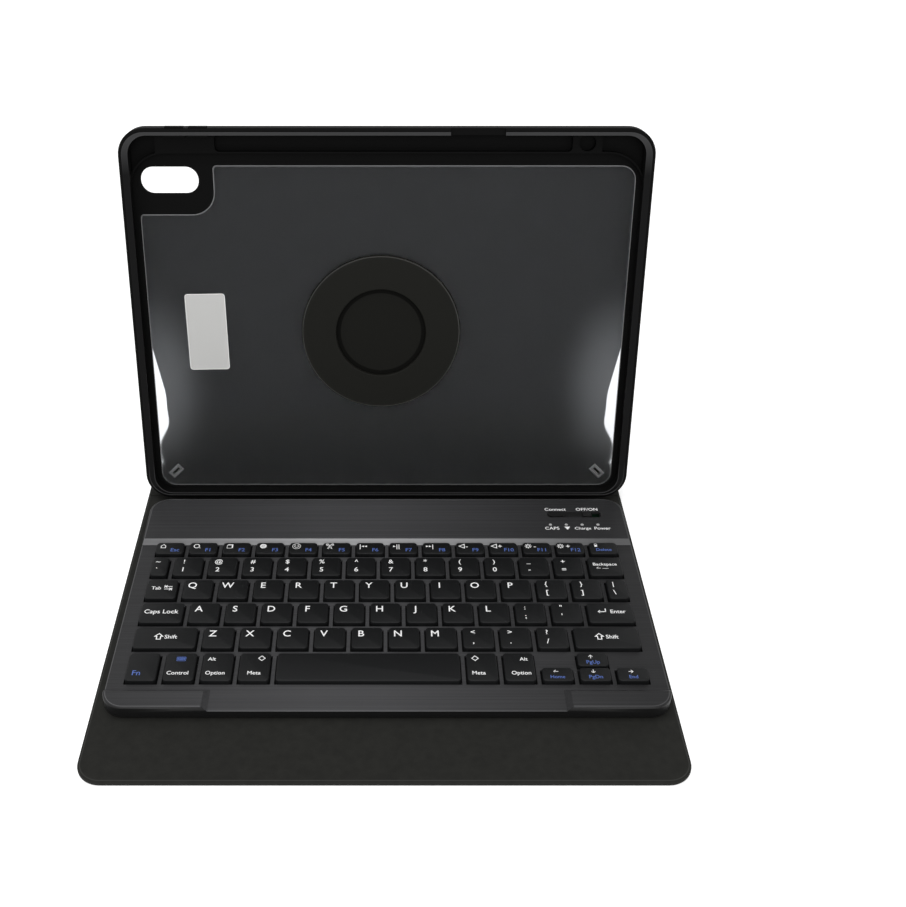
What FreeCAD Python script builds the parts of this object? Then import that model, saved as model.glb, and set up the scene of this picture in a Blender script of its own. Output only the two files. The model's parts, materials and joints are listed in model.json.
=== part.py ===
import FreeCAD, Part
import math
import os
import Sketcher

# A folding tablet keyboard case, in millimetres, +Z up, standing open on a table.
# X runs across the case and +Y points away from the user. The origin is at the middle
# of the base cover's underside. Pieces are drawn from the fold at the cover's rear edge.

Vector = FreeCAD.Vector
doc = FreeCAD.newDocument("tablet_keyboard_case")
sheet = doc.addObject("Spreadsheet::Sheet", "Sizes")


class Size:
    """A length that knows both its number and the sheet formula that drives it."""

    def __init__(self, text, value):
        self.text = text
        self.value = value

    def __add__(self, other):
        other = size_of(other)
        return Size(f"({self.text} + {other.text})", self.value + other.value)

    def __sub__(self, other):
        other = size_of(other)
        return Size(f"({self.text} - {other.text})", self.value - other.value)

    def __mul__(self, other):
        other = size_of(other)
        return Size(f"({self.text} * {other.text})", self.value * other.value)

    def __truediv__(self, other):
        other = size_of(other)
        return Size(f"({self.text} / {other.text})", self.value / other.value)

    def __neg__(self):
        return Size(f"(0 - {self.text})", -self.value)

    __radd__ = __add__


def size_of(item):
    if isinstance(item, Size):
        return item
    return Size(f"({float(item):.6f})", float(item))


def driving(alias, value):
    row = driving.row
    driving.row += 1
    sheet.set(f"A{row}", alias)
    sheet.set(f"B{row}", str(value))
    sheet.setAlias(f"B{row}", alias)
    return Size(f"Sizes.{alias}", float(value))


driving.row = 1
ZERO = size_of(0)

# Tray and keyboard stand a little to the right of the cover's middle.
tray_shift = driving("tray_shift", 1.2)

# Margin by which a cut reaches past the face it opens.
overcut = driving("overcut", 1)

# Folding cover: base, spine, prop and back panel are leatherette-covered boards.
recline = driving("recline_angle", 11.3)
cover_width = driving("cover_width", 255)
cover_depth = driving("cover_depth", 199.3)
cover_thick = driving("cover_thick", 2.4)
cover_corner = driving("cover_corner", 11)
cover_round = driving("cover_edge_round", 0.8)
spine_width = driving("spine_width", 24.7)
fold_gap = driving("fold_gap", 0.4)
fold_height = driving("fold_height", 45)
heel_clear = driving("heel_clear", 0.4)
back_margin = driving("back_margin", 2)
back_side = driving("back_side_margin", 2)
waist_reach = driving("waist_reach", 116.2)
waist_rise = driving("waist_rise", 58)
waist_drop = driving("waist_drop", 31)
waist_round = driving("waist_round", 40)
waist_hold = driving("waist_hold", 10)

# Tray for the tablet: a soft frame that leans on the prop.
tray_width = driving("tray_width", 256)
tray_height = driving("tray_height", 193.4)
tray_depth = driving("tray_depth", 10.5)
tray_corner = driving("tray_corner", 13)
side_wall = driving("tray_side_wall", 3.8)
foot_wall = driving("tray_foot_wall", 2.2)
top_wall = driving("tray_top_wall", 3.3)
tray_floor = driving("tray_floor", 1.6)
back_round = driving("tray_back_round", 3)
rim_round = driving("tray_rim_round", 1.8)
lip_depth = driving("lip_depth", 1.2)
lip_reach = driving("lip_reach", 1.1)
foot_clear = driving("foot_clear", 0.6)
ring_side = driving("floor_ring_side", 3.1)
ring_foot = driving("floor_ring_foot", 1.4)
ring_top = driving("floor_ring_top", 6.3)
panel_corner = driving("panel_corner", 7.5)
panel_clear = driving("panel_clear", 0.1)

# Pen trough along the tray's top wall.
trough_width = driving("trough_width", 8.4)
rib_width = driving("trough_rib_width", 0.8)
rib_height = driving("trough_rib_height", 3.9)
trough_floor = driving("trough_floor", 0.4)
left_block_start = driving("left_block_start", 110.8)
left_block_width = driving("left_block_width", 28.5)
right_block_start = driving("right_block_start", 88.7)
right_block_width = driving("right_block_width", 14.2)
tablet_corner = driving("tablet_corner", 18)
hollow_corner = driving("hollow_corner", 2)
push_hole_radius = driving("push_hole_radius", 4.1)
push_hole_depth = driving("push_hole_depth", 3.4)

# Camera hole and its surround.
camera_width = driving("camera_hole_width", 28.2)
camera_height = driving("camera_hole_height", 12.9)
camera_x = driving("camera_from_middle", 105.5)
camera_drop = driving("camera_below_top", 25.9)
surround_reach = driving("camera_surround_reach", 84.4)
surround_drop = driving("camera_surround_drop", 42.6)
surround_corner = driving("camera_surround_corner", 11)
camera_back_margin = driving("camera_back_margin", 3)
camera_end_share = driving("camera_end_share", 0.98)
surround_round = driving("camera_surround_round", 1.8)

# Volume covers, notch and side openings of the tray.
button_width = driving("volume_cover_width", 8.6)
button_depth = driving("volume_cover_depth", 3.2)
button_pitch = driving("volume_cover_pitch", 11.2)
button_x = driving("volume_cover_from_middle", 100.6)
button_proud = driving("volume_cover_proud", 0.7)
button_clear = driving("button_clear", 0.15)
button_flange = driving("volume_cover_flange", 0.7)
notch_x = driving("rim_notch_from_middle", 43.2)
notch_width = driving("rim_notch_width", 26)
notch_depth = driving("rim_notch_depth", 1.4)
port_width = driving("port_width", 16)
port_height = driving("port_height", 5)
speaker_pitch = driving("speaker_pitch", 130)
power_width = driving("power_notch_width", 18)
power_drop = driving("power_notch_below_top", 30)

# Turning hub in the middle of the clear panel.
hub_x = driving("hub_left_of_middle", 2.9)
hub_up = driving("hub_height", 89.9)
ring_radius = driving("ring_radius", 40.6)
ring_proud = driving("ring_proud", 1.0)
ring_hole = driving("ring_panel_hole_radius", 37)
disc_radius = driving("disc_radius", 22.9)
disc_recess = driving("disc_recess", 1.9)
stem_radius = driving("stem_radius", 18)
hub_gap = driving("hub_gap", 1.2)
hub_clear = driving("hub_clear", 0.05)
ring_lift = driving("ring_lift", 0.4)
retainer_width = driving("retainer_width", 4)
hub_screw_circle = driving("hub_screw_circle", 12)
hub_screw_radius = driving("hub_screw_radius", 1.5)
hub_screw_head = driving("hub_screw_head_height", 0.5)

# Bare plate and slanted slots on the clear panel.
plate_width = driving("bare_plate_width", 20.5)
plate_height = driving("bare_plate_height", 40.5)
plate_thick = driving("bare_plate_thick", 0.3)
plate_corner = driving("bare_plate_corner", 1.6)
plate_x = driving("bare_plate_left_of_middle", 91.8)
plate_up = driving("bare_plate_height_above_foot", 90.3)
plate_tilt = driving("bare_plate_tilt", 0.9)
slot_length = driving("panel_slot_length", 5.0)
slot_width = driving("panel_slot_width", 1.6)
slot_x = driving("panel_slot_from_middle", 113.2)
slot_up = driving("panel_slot_height", 12.1)
slot_rim = driving("panel_slot_rim", 1.0)
slot_rim_height = driving("panel_slot_rim_height", 0.5)

# Keyboard housing.
board_width = driving("keyboard_width", 247.4)
board_depth = driving("keyboard_depth", 147.5)
board_corner = driving("keyboard_corner", 10)
board_setback = driving("keyboard_setback", 17.4)
feet_height = driving("feet_height", 0.3)
case_floor = driving("case_floor", 0.5)
case_wall = driving("case_wall", 1.6)
case_round = driving("case_round", 0.9)
field_height = driving("key_field_height", 4.4)
plate_skin = driving("top_plate_thick", 1.0)
deck_rise = driving("deck_rise", 2.2)
deck_depth = driving("deck_depth", 33.4)
deck_bevel = driving("deck_bevel", 2.6)
deck_round = driving("deck_edge_round", 0.8)
deck_wall = driving("deck_wall", 2.4)
pad_reach = driving("front_pad_from_middle", 80)
pad_depth = driving("front_pad_depth", 9.7)
pad_bevel = driving("front_pad_bevel", 2.6)
foot_radius = driving("foot_radius", 5)
foot_inset = driving("foot_inset", 14)

# Keys.
key_pitch = driving("key_pitch", 17.0)
bottom_pitch = driving("bottom_key_pitch", 16.6)
key_gap = driving("key_gap", 2.3)
key_corner = driving("key_corner", 1.6)
key_height = driving("key_height", 2.2)
key_clear = driving("key_clear", 0.3)
key_skirt = driving("key_skirt", 0.3)
key_span = driving("key_span", 231.8)
row_pitch = driving("row_pitch", 16.6)
key_depth = driving("key_depth", 13.4)
function_depth = driving("function_key_depth", 8.6)
function_gap = driving("function_row_gap", 0.6)
letter_gap = driving("letter_rows_gap", 3.0)
bottom_depth = driving("bottom_key_depth", 17)
arrow_gap = driving("arrow_gap", 1.0)
accent_width = driving("accent_key_width", 8.6)
tab_width = driving("tab_key_width", 15.4)
caps_width = driving("caps_key_width", 20.6)
shift_width = driving("shift_key_width", 29.1)

# Inside the keyboard.
backing_thick = driving("backing_sheet_thick", 0.3)
dome_thick = driving("dome_sheet_thick", 0.6)
inner_clear = driving("inner_clear", 0.4)
cell_width = driving("battery_width", 110)
cell_depth = driving("battery_depth", 24)
cell_thick = driving("battery_thick", 3.4)
cell_round = driving("battery_edge_round", 1.1)
circuit_width = driving("circuit_board_width", 86)
circuit_thick = driving("circuit_board_thick", 1.0)
magnet_radius = driving("magnet_radius", 5)
magnet_thick = driving("magnet_thick", 1.2)
magnet_x = driving("magnet_from_middle", 95)
magnet_inset = driving("magnet_inset", 30)
socket_width = driving("socket_width", 7.6)
socket_height = driving("socket_height", 2.2)
socket_length = driving("socket_length", 5.4)
socket_back = driving("socket_from_rear", 20)
socket_mouth = driving("socket_wall", 0.3)
socket_reach = driving("socket_mouth_depth", 4.3)

# Switch, connect button and lights on the rear deck.
control_back = driving("controls_from_rear", 13.8)
recess_x = driving("control_recess_from_middle", 97.5)
recess_length = driving("control_recess_length", 28)
recess_width = driving("control_recess_width", 4.6)
recess_depth = driving("control_recess_depth", 0.5)
recess_corner = driving("control_recess_corner", 1.6)
switch_x = driving("switch_from_middle", 106.4)
switch_slot = driving("switch_slot_length", 9)
switch_width = driving("switch_slot_width", 3.6)
knob_length = driving("switch_knob_length", 4.4)
knob_proud = driving("switch_knob_proud", 0.3)
control_clear = driving("control_clear", 0.15)
connect_x = driving("connect_from_middle", 88.4)
connect_length = driving("connect_length", 7.6)
connect_width = driving("connect_width", 3.2)
connect_corner = driving("connect_corner", 1.3)
connect_proud = driving("connect_proud", 0.2)
control_flange = driving("control_flange", 0.6)
light_back = driving("lights_from_rear", 22.1)
light_first = driving("first_light_from_middle", 84.3)
light_pitch = driving("light_pitch", 8.15)
light_radius = driving("light_radius", 0.8)

# Keys in each row between its first and last key, and keys beside the space bar.
FUNCTION_COUNT = 14
DIGIT_COUNT = 12
UPPER_COUNT = 12
HOME_COUNT = 11
LOWER_COUNT = 10
LEFT_MODIFIER_COUNT = 3
RIGHT_MODIFIER_COUNT = 2
ARROW_COLUMNS = 3
LIGHT_COUNT = 4

# Edges closer than this to a line or level are taken to lie on it.
NEAR = 1e-4

doc.recompute()


# Drawing helpers


def bind(item, prop, size):
    item.setExpression(prop, size_of(size).text)


def new_body(label, groups=False):
    body = doc.addObject("PartDesign::Body", label)
    body.Label = label
    body.AllowCompound = groups
    return body


def origin_plane(body, role):
    for feature in body.Origin.OriginFeatures:
        if feature.Role == role:
            return feature
    raise RuntimeError(f"{body.Label} has no plane {role}")


def new_sketch(body, level, role="XY_Plane"):
    sketch = body.newObject("Sketcher::SketchObject", body.Label + "_sketch")
    sketch.AttachmentSupport = [(origin_plane(body, role), "")]
    sketch.MapMode = "FlatFace"
    bind(sketch, "AttachmentOffset.Base.z", level)
    return sketch


def draw(sketch, shapes, joins, ties):
    """Add shapes, the constraints among them, and constraints tied to sizes."""
    first = sketch.GeometryCount
    sketch.addGeometry(shapes, False)
    sketch.addConstraint(
        [
            Sketcher.Constraint(kind, *shifted(ends, first))
            for kind, ends in joins
        ]
        + [tie_constraint(first, *tie) for tie in ties]
    )
    tied = sketch.ConstraintCount - len(ties)
    for index, tie in enumerate(ties):
        bind(sketch, f"Constraints[{tied + index}]", tie[-1])


def shifted(ends, first):
    """Shape numbers counted on from the shapes already there; point numbers stay."""
    if len(ends) < 4:
        return [end + first for end in ends]
    return [ends[0] + first, ends[1], ends[2] + first, ends[3]]


def tie_constraint(first, kind, shape, point, size):
    """A radius, or a distance of a point from the sketch's origin."""
    if kind == "Radius":
        return Sketcher.Constraint(kind, first + shape, size.value)
    return Sketcher.Constraint(kind, -1, 1, first + shape, point, size.value)


def polygon(sketch, corners):
    """A closed outline of straight sides through corners that are tied to sizes."""
    corners = [(size_of(x), size_of(y)) for x, y in corners]
    points = [Vector(x.value, y.value, 0) for x, y in corners]
    count = len(points)
    sides = [Part.LineSegment(points[i], points[(i + 1) % count]) for i in range(count)]
    joins = [("Coincident", (i, 2, (i + 1) % count, 1)) for i in range(count)]
    ties = [("DistanceX", i, 1, x) for i, (x, _) in enumerate(corners)]
    ties += [("DistanceY", i, 1, y) for i, (_, y) in enumerate(corners)]
    draw(sketch, sides, joins, ties)


def rectangle(sketch, left, right, low, high):
    polygon(sketch, [(left, low), (right, low), (right, high), (left, high)])


def rounded(sketch, left, right, low, high, *corners):
    """A rectangle with rounded corners: one radius for all, or four from the lower right."""
    left, right, low, high = (size_of(item) for item in (left, right, low, high))
    equal = len(corners) == 1
    if equal:
        corners = corners * 4
    first, second, third, fourth = (corner.value for corner in corners)
    x0, x1, y0, y1 = left.value, right.value, low.value, high.value
    ends = [
        ((x0 + fourth, y0), (x1 - first, y0)),
        ((x1, y0 + first), (x1, y1 - second)),
        ((x1 - second, y1), (x0 + third, y1)),
        ((x0, y1 - third), (x0, y0 + fourth)),
    ]
    middles = [
        (x1 - first, y0 + first, first, -90),
        (x1 - second, y1 - second, second, 0),
        (x0 + third, y1 - third, third, 90),
        (x0 + fourth, y0 + fourth, fourth, 180),
    ]
    shapes = [Part.LineSegment(Vector(*start, 0), Vector(*end, 0)) for start, end in ends]
    for x, y, radius, start in middles:
        whole = Part.Circle(Vector(x, y, 0), Vector(0, 0, 1), radius)
        shapes.append(Part.ArcOfCircle(whole, math.radians(start), math.radians(start + 90)))
    joins = []
    for i in range(4):
        joins.append(("Tangent", (i, 2, i + 4, 1)))
        joins.append(("Tangent", (i + 4, 2, (i + 1) % 4, 1)))
    joins += [("Horizontal", (0,)), ("Vertical", (1,)), ("Horizontal", (2,)), ("Vertical", (3,))]
    if equal:
        joins += [("Equal", (4, i)) for i in (5, 6, 7)]
        corners = corners[:1]
    ties = [("Radius", 4 + i, 0, corner) for i, corner in enumerate(corners)]
    ties += [
        ("DistanceX", 3, 1, left),
        ("DistanceX", 1, 1, right),
        ("DistanceY", 0, 1, low),
        ("DistanceY", 2, 1, high),
    ]
    draw(sketch, shapes, joins, ties)


def circle(sketch, x, y, radius):
    x, y = size_of(x), size_of(y)
    whole = Part.Circle(Vector(x.value, y.value, 0), Vector(0, 0, 1), radius.value)
    ties = [("DistanceX", 0, 3, x), ("DistanceY", 0, 3, y), ("Radius", 0, 0, radius)]
    draw(sketch, [whole], [], ties)


def pad(body, sketch, length):
    feature = body.newObject("PartDesign::Pad", body.Label + "_pad")
    feature.Profile = sketch
    bind(feature, "Length", length)
    doc.recompute()
    return feature


def cut(body, sketch, length, upwards=False):
    """A pocket below its sketch, or above it; it has to take material away."""
    before = body.Shape.Volume
    feature = body.newObject("PartDesign::Pocket", body.Label + "_pocket")
    feature.Profile = sketch
    feature.Reversed = upwards
    bind(feature, "Length", length)
    doc.recompute()
    if body.Shape.Volume >= before:
        raise RuntimeError(f"a pocket of {body.Label} cuts nothing")
    return feature


def repeat(body, feature, step, count):
    """Copies of a feature along X, one step apart."""
    if count == 1:
        return
    pattern = body.newObject("PartDesign::LinearPattern", body.Label + "_pattern")
    pattern.Originals = [feature]
    pattern.Direction = (feature.Profile[0], ["H_Axis"])
    bind(pattern, "Length", step * (count - 1))
    pattern.Occurrences = count
    body.Tip = pattern
    doc.recompute()


def edges_where(shape, test):
    return [f"Edge{i + 1}" for i, edge in enumerate(shape.Edges) if test(edge)]


def soften(body, kind, prop, size, test):
    """A fillet or chamfer on the edges of the body that pass a test."""
    base = body.Tip
    names = edges_where(base.Shape, test)
    if not names:
        raise RuntimeError(f"{body.Label} has no edge to soften")
    feature = body.newObject(f"PartDesign::{kind}", body.Label + "_" + kind.lower())
    feature.Base = (base, names)
    bind(feature, prop, size)
    doc.recompute()
    return feature


def level_edge(level):
    """Edges that lie wholly at one height of their body."""
    height = level.value
    return lambda edge: (
        abs(edge.BoundBox.ZMin - height) < NEAR and abs(edge.BoundBox.ZMax - height) < NEAR
    )


def upright_edge(test):
    """Edges that run up the body, picked by where they stand."""
    return lambda edge: (
        edge.BoundBox.ZLength > NEAR
        and edge.BoundBox.XLength < NEAR
        and edge.BoundBox.YLength < NEAR
        and test(edge.BoundBox.Center)
    )


def corner_at(x, y):
    """The upright edge at one corner."""
    return upright_edge(lambda c: abs(c.x - x.value) < NEAR and abs(c.y - y.value) < NEAR)


def edge_along_x(edge):
    box = edge.BoundBox
    return box.XLength > NEAR and box.YLength < NEAR and box.ZLength < NEAR


def side_edge(edge):
    """Edges of a board that run from one of its folds to the other."""
    box = edge.BoundBox
    return box.YLength > NEAR and box.ZLength < NEAR


finished = []


def finish(body, placement=FreeCAD.Placement()):
    """Set a piece, drawn from the fold at the rear of the base cover, in its place."""
    fold = FreeCAD.Placement(Vector(0, cover_depth.value / 2, 0), FreeCAD.Rotation())
    body.Placement = fold.multiply(placement)
    finished.append(body)


# Where the folded boards stand. The foot of the tray clears the base cover, the
# prop reaches from the far edge of the spine to the fold behind the tray.

lean = math.radians(recline.value)
sin_lean = math.sin(lean)
cos_lean = math.cos(lean)
behind = tray_depth.value + hub_gap.value + cover_thick.value
prop_length = fold_height + heel_clear
foot_drop = back_round.value * (cos_lean + sin_lean - 1) - tray_depth.value * sin_lean
foot_z = cover_thick.value + foot_clear.value - foot_drop
knee_rise = foot_z + fold_height.value * cos_lean - behind * sin_lean - cover_thick.value
prop_line = math.hypot(prop_length.value, cover_thick.value)
prop_run = math.sqrt(prop_line**2 - knee_rise**2)
foot_y = spine_width.value - prop_run - fold_height.value * sin_lean - behind * cos_lean
prop_angle = math.atan2(knee_rise, -prop_run) + math.atan2(cover_thick.value, prop_length.value)

tray_turn = FreeCAD.Rotation(Vector(1, 0, 0), 90 - recline.value)
tray_place = FreeCAD.Placement(Vector(tray_shift.value, foot_y, foot_z), tray_turn)
prop_turn = FreeCAD.Rotation(Vector(1, 0, 0), math.degrees(prop_angle))
board_place = FreeCAD.Placement(Vector(tray_shift.value, 0, 0), FreeCAD.Rotation())
prop_foot = Vector(tray_shift.value, spine_width.value, cover_thick.value)
prop_outer = prop_turn.multVec(Vector(0, 0, -cover_thick.value))
prop_place = FreeCAD.Placement(prop_foot + prop_outer, prop_turn)

half_cover = cover_width / 2
half_tray = tray_width / 2
inner_half = half_tray - side_wall
front = -tray_depth
floor_top = front + tray_floor
rib_top = floor_top + rib_height
cavity_top = tray_height - top_wall - trough_width - rib_width
panel_low = foot_wall + ring_foot
panel_high = cavity_top - ring_top
panel_half = inner_half - ring_side
camera_up = tray_height - camera_drop
surround_low = tray_height - surround_drop


# Folding cover


def base_cover():
    body = new_body("base_cover")
    sketch = new_sketch(body, ZERO)
    rectangle(sketch, -half_cover, half_cover, -cover_depth, -fold_gap)
    pad(body, sketch, cover_thick)
    middle = -cover_depth.value / 2
    soften(body, "Fillet", "Radius", cover_corner, upright_edge(lambda c: c.y < middle))
    fold = -fold_gap.value

    def outer_edge(edge):
        box = edge.BoundBox
        return box.ZLength < NEAR and box.YMin < fold - NEAR

    soften(body, "Fillet", "Radius", cover_round, outer_edge)
    seats = new_sketch(body, cover_thick)
    for x, y in magnet_places():
        circle(seats, x, y, magnet_radius)
    cut(body, seats, magnet_thick)
    finish(body)


def magnet_places():
    rear = -(board_setback + magnet_inset)
    ahead = -(board_setback + board_depth - magnet_inset)
    return [(side, y) for side in (-magnet_x, magnet_x) for y in (rear, ahead)]


def base_magnets():
    body = new_body("base_magnets", groups=True)
    sketch = new_sketch(body, cover_thick - magnet_thick)
    for x, y in magnet_places():
        circle(sketch, x, y, magnet_radius - panel_clear)
    pad(body, sketch, magnet_thick)
    finish(body)


def spine_board():
    body = new_body("spine_board")
    sketch = new_sketch(body, ZERO)
    rectangle(sketch, -half_cover, half_cover, fold_gap, spine_width - fold_gap)
    pad(body, sketch, cover_thick)
    soften(body, "Fillet", "Radius", cover_round, side_edge)
    finish(body)


def waisted(sketch, half, wide, bend, hold, narrow):
    """A board that is full width from one end to the bend and drawn in towards the other."""
    polygon(
        sketch,
        [
            (-half, wide),
            (half, wide),
            (half, bend),
            (waist_reach, hold),
            (waist_reach, narrow),
            (-waist_reach, narrow),
            (-waist_reach, hold),
            (-half, bend),
        ],
    )


def bend_edge(bend, hold):
    """Upright edges at the bends in a waisted board's sides."""
    return upright_edge(lambda c: min(abs(c.y - bend.value), abs(c.y - hold.value)) < NEAR)


def prop_board():
    body = new_body("prop_board")
    half = half_tray - back_side
    bend = prop_length - waist_drop
    top = prop_length - fold_gap
    sketch = new_sketch(body, ZERO)
    hold = top - waist_hold
    waisted(sketch, half, fold_gap, bend, hold, top)
    pad(body, sketch, cover_thick)
    soften(body, "Fillet", "Radius", waist_round, bend_edge(bend, hold))
    soften(body, "Fillet", "Radius", cover_round, side_edge)
    finish(body, prop_place)


def back_panel():
    body = new_body("back_panel")
    outer = front - hub_gap - cover_thick
    half = half_tray - back_side
    high = tray_height - back_margin
    sketch = new_sketch(body, outer)
    bend = fold_height + waist_rise
    low = fold_height + fold_gap
    hold = low + waist_hold
    waisted(sketch, half, high, bend, hold, low)
    pad(body, sketch, cover_thick)
    soften(body, "Fillet", "Radius", waist_round, bend_edge(bend, hold))
    middle = tray_height.value / 2
    soften(body, "Fillet", "Radius", tray_corner, upright_edge(lambda c: c.y > middle))
    fold = fold_height.value + fold_gap.value

    def outer_edge(edge):
        box = edge.BoundBox
        return box.ZLength < NEAR and box.YMax > fold + NEAR

    soften(body, "Fillet", "Radius", cover_round, outer_edge)
    opening = new_sketch(body, front - hub_gap)
    camera_outline(opening, camera_back_margin)
    cut(body, opening, cover_thick)
    finish(body, tray_place)


def camera_outline(sketch, margin):
    half_width = camera_width / 2 + margin
    half_height = camera_height / 2 + margin
    rounded(
        sketch,
        -camera_x - half_width,
        -camera_x + half_width,
        camera_up - half_height,
        camera_up + half_height,
        half_height * camera_end_share,
    )


# Tray


def tray_frame():
    body = new_body("tray_frame")
    outline = new_sketch(body, front)
    rounded(outline, -half_tray, half_tray, ZERO, tray_height, tray_corner)
    pad(body, outline, tray_depth)
    soften(body, "Fillet", "Radius", back_round, level_edge(front))
    soften(body, "Fillet", "Radius", rim_round, level_edge(ZERO))

    mouth = new_sketch(body, ZERO)
    rounded(
        mouth,
        -inner_half + lip_reach,
        inner_half - lip_reach,
        foot_wall + lip_reach,
        tray_height - top_wall,
        tray_corner - side_wall,
    )
    cut(body, mouth, -rib_top)

    cavity = new_sketch(body, -lip_depth)
    tablet_outline(cavity, ZERO)
    cut(body, cavity, -floor_top - lip_depth)

    trough_low = cavity_top + rib_width
    trough_high = tray_height - top_wall
    trough_side = inner_half - lip_reach
    mouth_corner = tray_corner - side_wall
    pocket_low = cavity_top - tablet_corner
    trough = new_sketch(body, rib_top)
    rounded(
        trough,
        left_block_width - left_block_start,
        right_block_start,
        trough_low,
        trough_high,
        hollow_corner,
    )
    rounded(
        trough,
        -trough_side,
        -left_block_start,
        pocket_low,
        trough_high,
        hollow_corner,
        hollow_corner,
        mouth_corner,
        hollow_corner,
    )
    rounded(
        trough,
        right_block_start + right_block_width,
        trough_side,
        pocket_low,
        trough_high,
        hollow_corner,
        mouth_corner,
        hollow_corner,
        hollow_corner,
    )
    cut(body, trough, rib_height - trough_floor)
    rib = new_sketch(body, floor_top)
    tablet_outline(rib, ZERO)
    tablet_outline(rib, rib_width)
    pad(body, rib, rib_height)

    push_hole = new_sketch(body, rib_top)
    middle = right_block_start + right_block_width / 2
    circle(push_hole, middle, trough_low + trough_width / 2, push_hole_radius - panel_clear)
    cut(body, push_hole, push_hole_depth)

    opening = new_sketch(body, floor_top)
    rounded(opening, -panel_half, panel_half, panel_low, panel_high, panel_corner)
    cut(body, opening, tray_floor)
    surround = new_sketch(body, front)
    rounded(
        surround,
        -inner_half - overcut,
        -surround_reach,
        surround_low,
        cavity_top + overcut,
        surround_corner,
        overcut,
        overcut,
        overcut,
    )
    pad(body, surround, tray_floor)
    soften(body, "Fillet", "Radius", surround_round, corner_at(-panel_half, surround_low))
    soften(body, "Fillet", "Radius", surround_round, corner_at(-surround_reach, panel_high))
    camera = new_sketch(body, floor_top)
    camera_outline(camera, ZERO)
    cut(body, camera, tray_floor)

    low = tray_height - top_wall - overcut
    covers = new_sketch(body, button_middle() + button_depth / 2 + button_clear)
    for x in button_places():
        half = button_width / 2 + button_clear
        rectangle(covers, x - half, x + half, low, tray_height + overcut)
    cut(body, covers, button_depth + button_clear * 2)

    notch = new_sketch(body, ZERO)
    half = notch_width / 2
    rectangle(notch, notch_x - half, notch_x + half, low, tray_height + overcut)
    cut(body, notch, notch_depth)

    sides = new_sketch(body, port_top())
    inside = inner_half - overcut * 2
    outside = half_tray + overcut
    for up in port_places():
        rectangle(sides, inside, outside, up - port_width / 2, up + port_width / 2)
    for up in speaker_places():
        rectangle(sides, -outside, -inside, up - port_width / 2, up + port_width / 2)
    power = tray_height - power_drop
    rectangle(sides, -outside, -inside, power - power_width / 2, power + power_width / 2)
    cut(body, sides, port_height)
    finish(body, tray_place)


def tablet_outline(sketch, margin):
    """The space for the tablet, with its wider corners at the top."""
    foot_corner = tray_corner - side_wall + margin
    head_corner = tablet_corner + margin
    rounded(
        sketch,
        -inner_half - margin,
        inner_half + margin,
        foot_wall - margin,
        cavity_top + margin,
        foot_corner,
        head_corner,
        head_corner,
        foot_corner,
    )


def port_top():
    return floor_top + lip_depth / 2 + port_height


def speaker_places():
    return [hub_up - speaker_pitch / 2]


def port_places():
    return [hub_up, hub_up - speaker_pitch / 2, hub_up + speaker_pitch / 2]


def button_middle():
    return rib_top + button_depth / 2 + button_flange + button_clear


def button_places():
    return [-button_x, button_pitch - button_x]


def volume_cover(label, x):
    body = new_body(label)
    half = button_width / 2
    low = button_middle() - button_depth / 2
    plug = new_sketch(body, low)
    top = tray_height + button_proud
    rectangle(plug, x - half, x + half, tray_height - top_wall - button_clear, top)
    pad(body, plug, button_depth)
    reach = half + button_flange
    flange = new_sketch(body, low - button_flange)
    base = tray_height - top_wall - button_clear
    rectangle(flange, x - reach, x + reach, base - button_flange, base)
    pad(body, flange, button_depth + button_flange * 2)
    crown = tray_height.value + button_proud.value
    soften(
        body,
        "Fillet",
        "Radius",
        button_proud,
        lambda edge: edge.BoundBox.YMin > crown - NEAR and edge.BoundBox.ZLength < NEAR,
    )
    finish(body, tray_place)


def clear_panel():
    body = new_body("clear_panel")
    outline = new_sketch(body, front)
    rounded(
        outline,
        -panel_half + panel_clear,
        panel_half - panel_clear,
        panel_low + panel_clear,
        panel_high - panel_clear,
        panel_corner - panel_clear,
    )
    pad(body, outline, tray_floor)
    corner = new_sketch(body, floor_top)
    low = surround_low - panel_clear
    reach = panel_clear - surround_reach
    rounded(
        corner,
        -inner_half - overcut,
        reach,
        low,
        cavity_top + overcut,
        surround_corner + panel_clear,
        overcut,
        overcut,
        overcut,
    )
    cut(body, corner, tray_floor)
    left = panel_clear - panel_half
    soften(body, "Fillet", "Radius", surround_round, corner_at(left, low))
    soften(body, "Fillet", "Radius", surround_round, corner_at(reach, panel_high - panel_clear))
    hole = new_sketch(body, floor_top)
    circle(hole, -hub_x, hub_up, ring_hole + panel_clear)
    cut(body, hole, tray_floor)
    rims = new_sketch(body, floor_top)
    slot_outlines(rims, slot_rim)
    pad(body, rims, slot_rim_height)
    slots = new_sketch(body, floor_top + slot_rim_height)
    slot_outlines(slots, ZERO)
    cut(body, slots, tray_floor + slot_rim_height)
    finish(body, tray_place)


def slot_outlines(sketch, margin):
    """Two slots that slant towards each other near the foot of the panel."""
    diagonal = math.sqrt(0.5)
    run = (slot_length / 2 + margin) * diagonal
    side = (slot_width / 2 + margin) * diagonal
    for x, slant in ((-slot_x, 1), (slot_x, -1)):
        offsets = [
            (-run - side, side - run),
            (side - run, -run - side),
            (run + side, run - side),
            (run - side, run + side),
        ]
        polygon(sketch, [(x + along * slant, slot_up + across) for along, across in offsets])


def bare_plate():
    body = new_body("bare_plate")
    sketch = new_sketch(body, floor_top)
    half_width = plate_width / 2
    half_height = plate_height / 2
    rounded(sketch, -half_width, half_width, -half_height, half_height, plate_corner)
    pad(body, sketch, plate_thick)
    tilt = FreeCAD.Rotation(Vector(0, 0, 1), plate_tilt.value)
    spot = FreeCAD.Placement(Vector(-plate_x.value, plate_up.value, 0), tilt)
    finish(body, tray_place.multiply(spot))


# Turning hub


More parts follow.
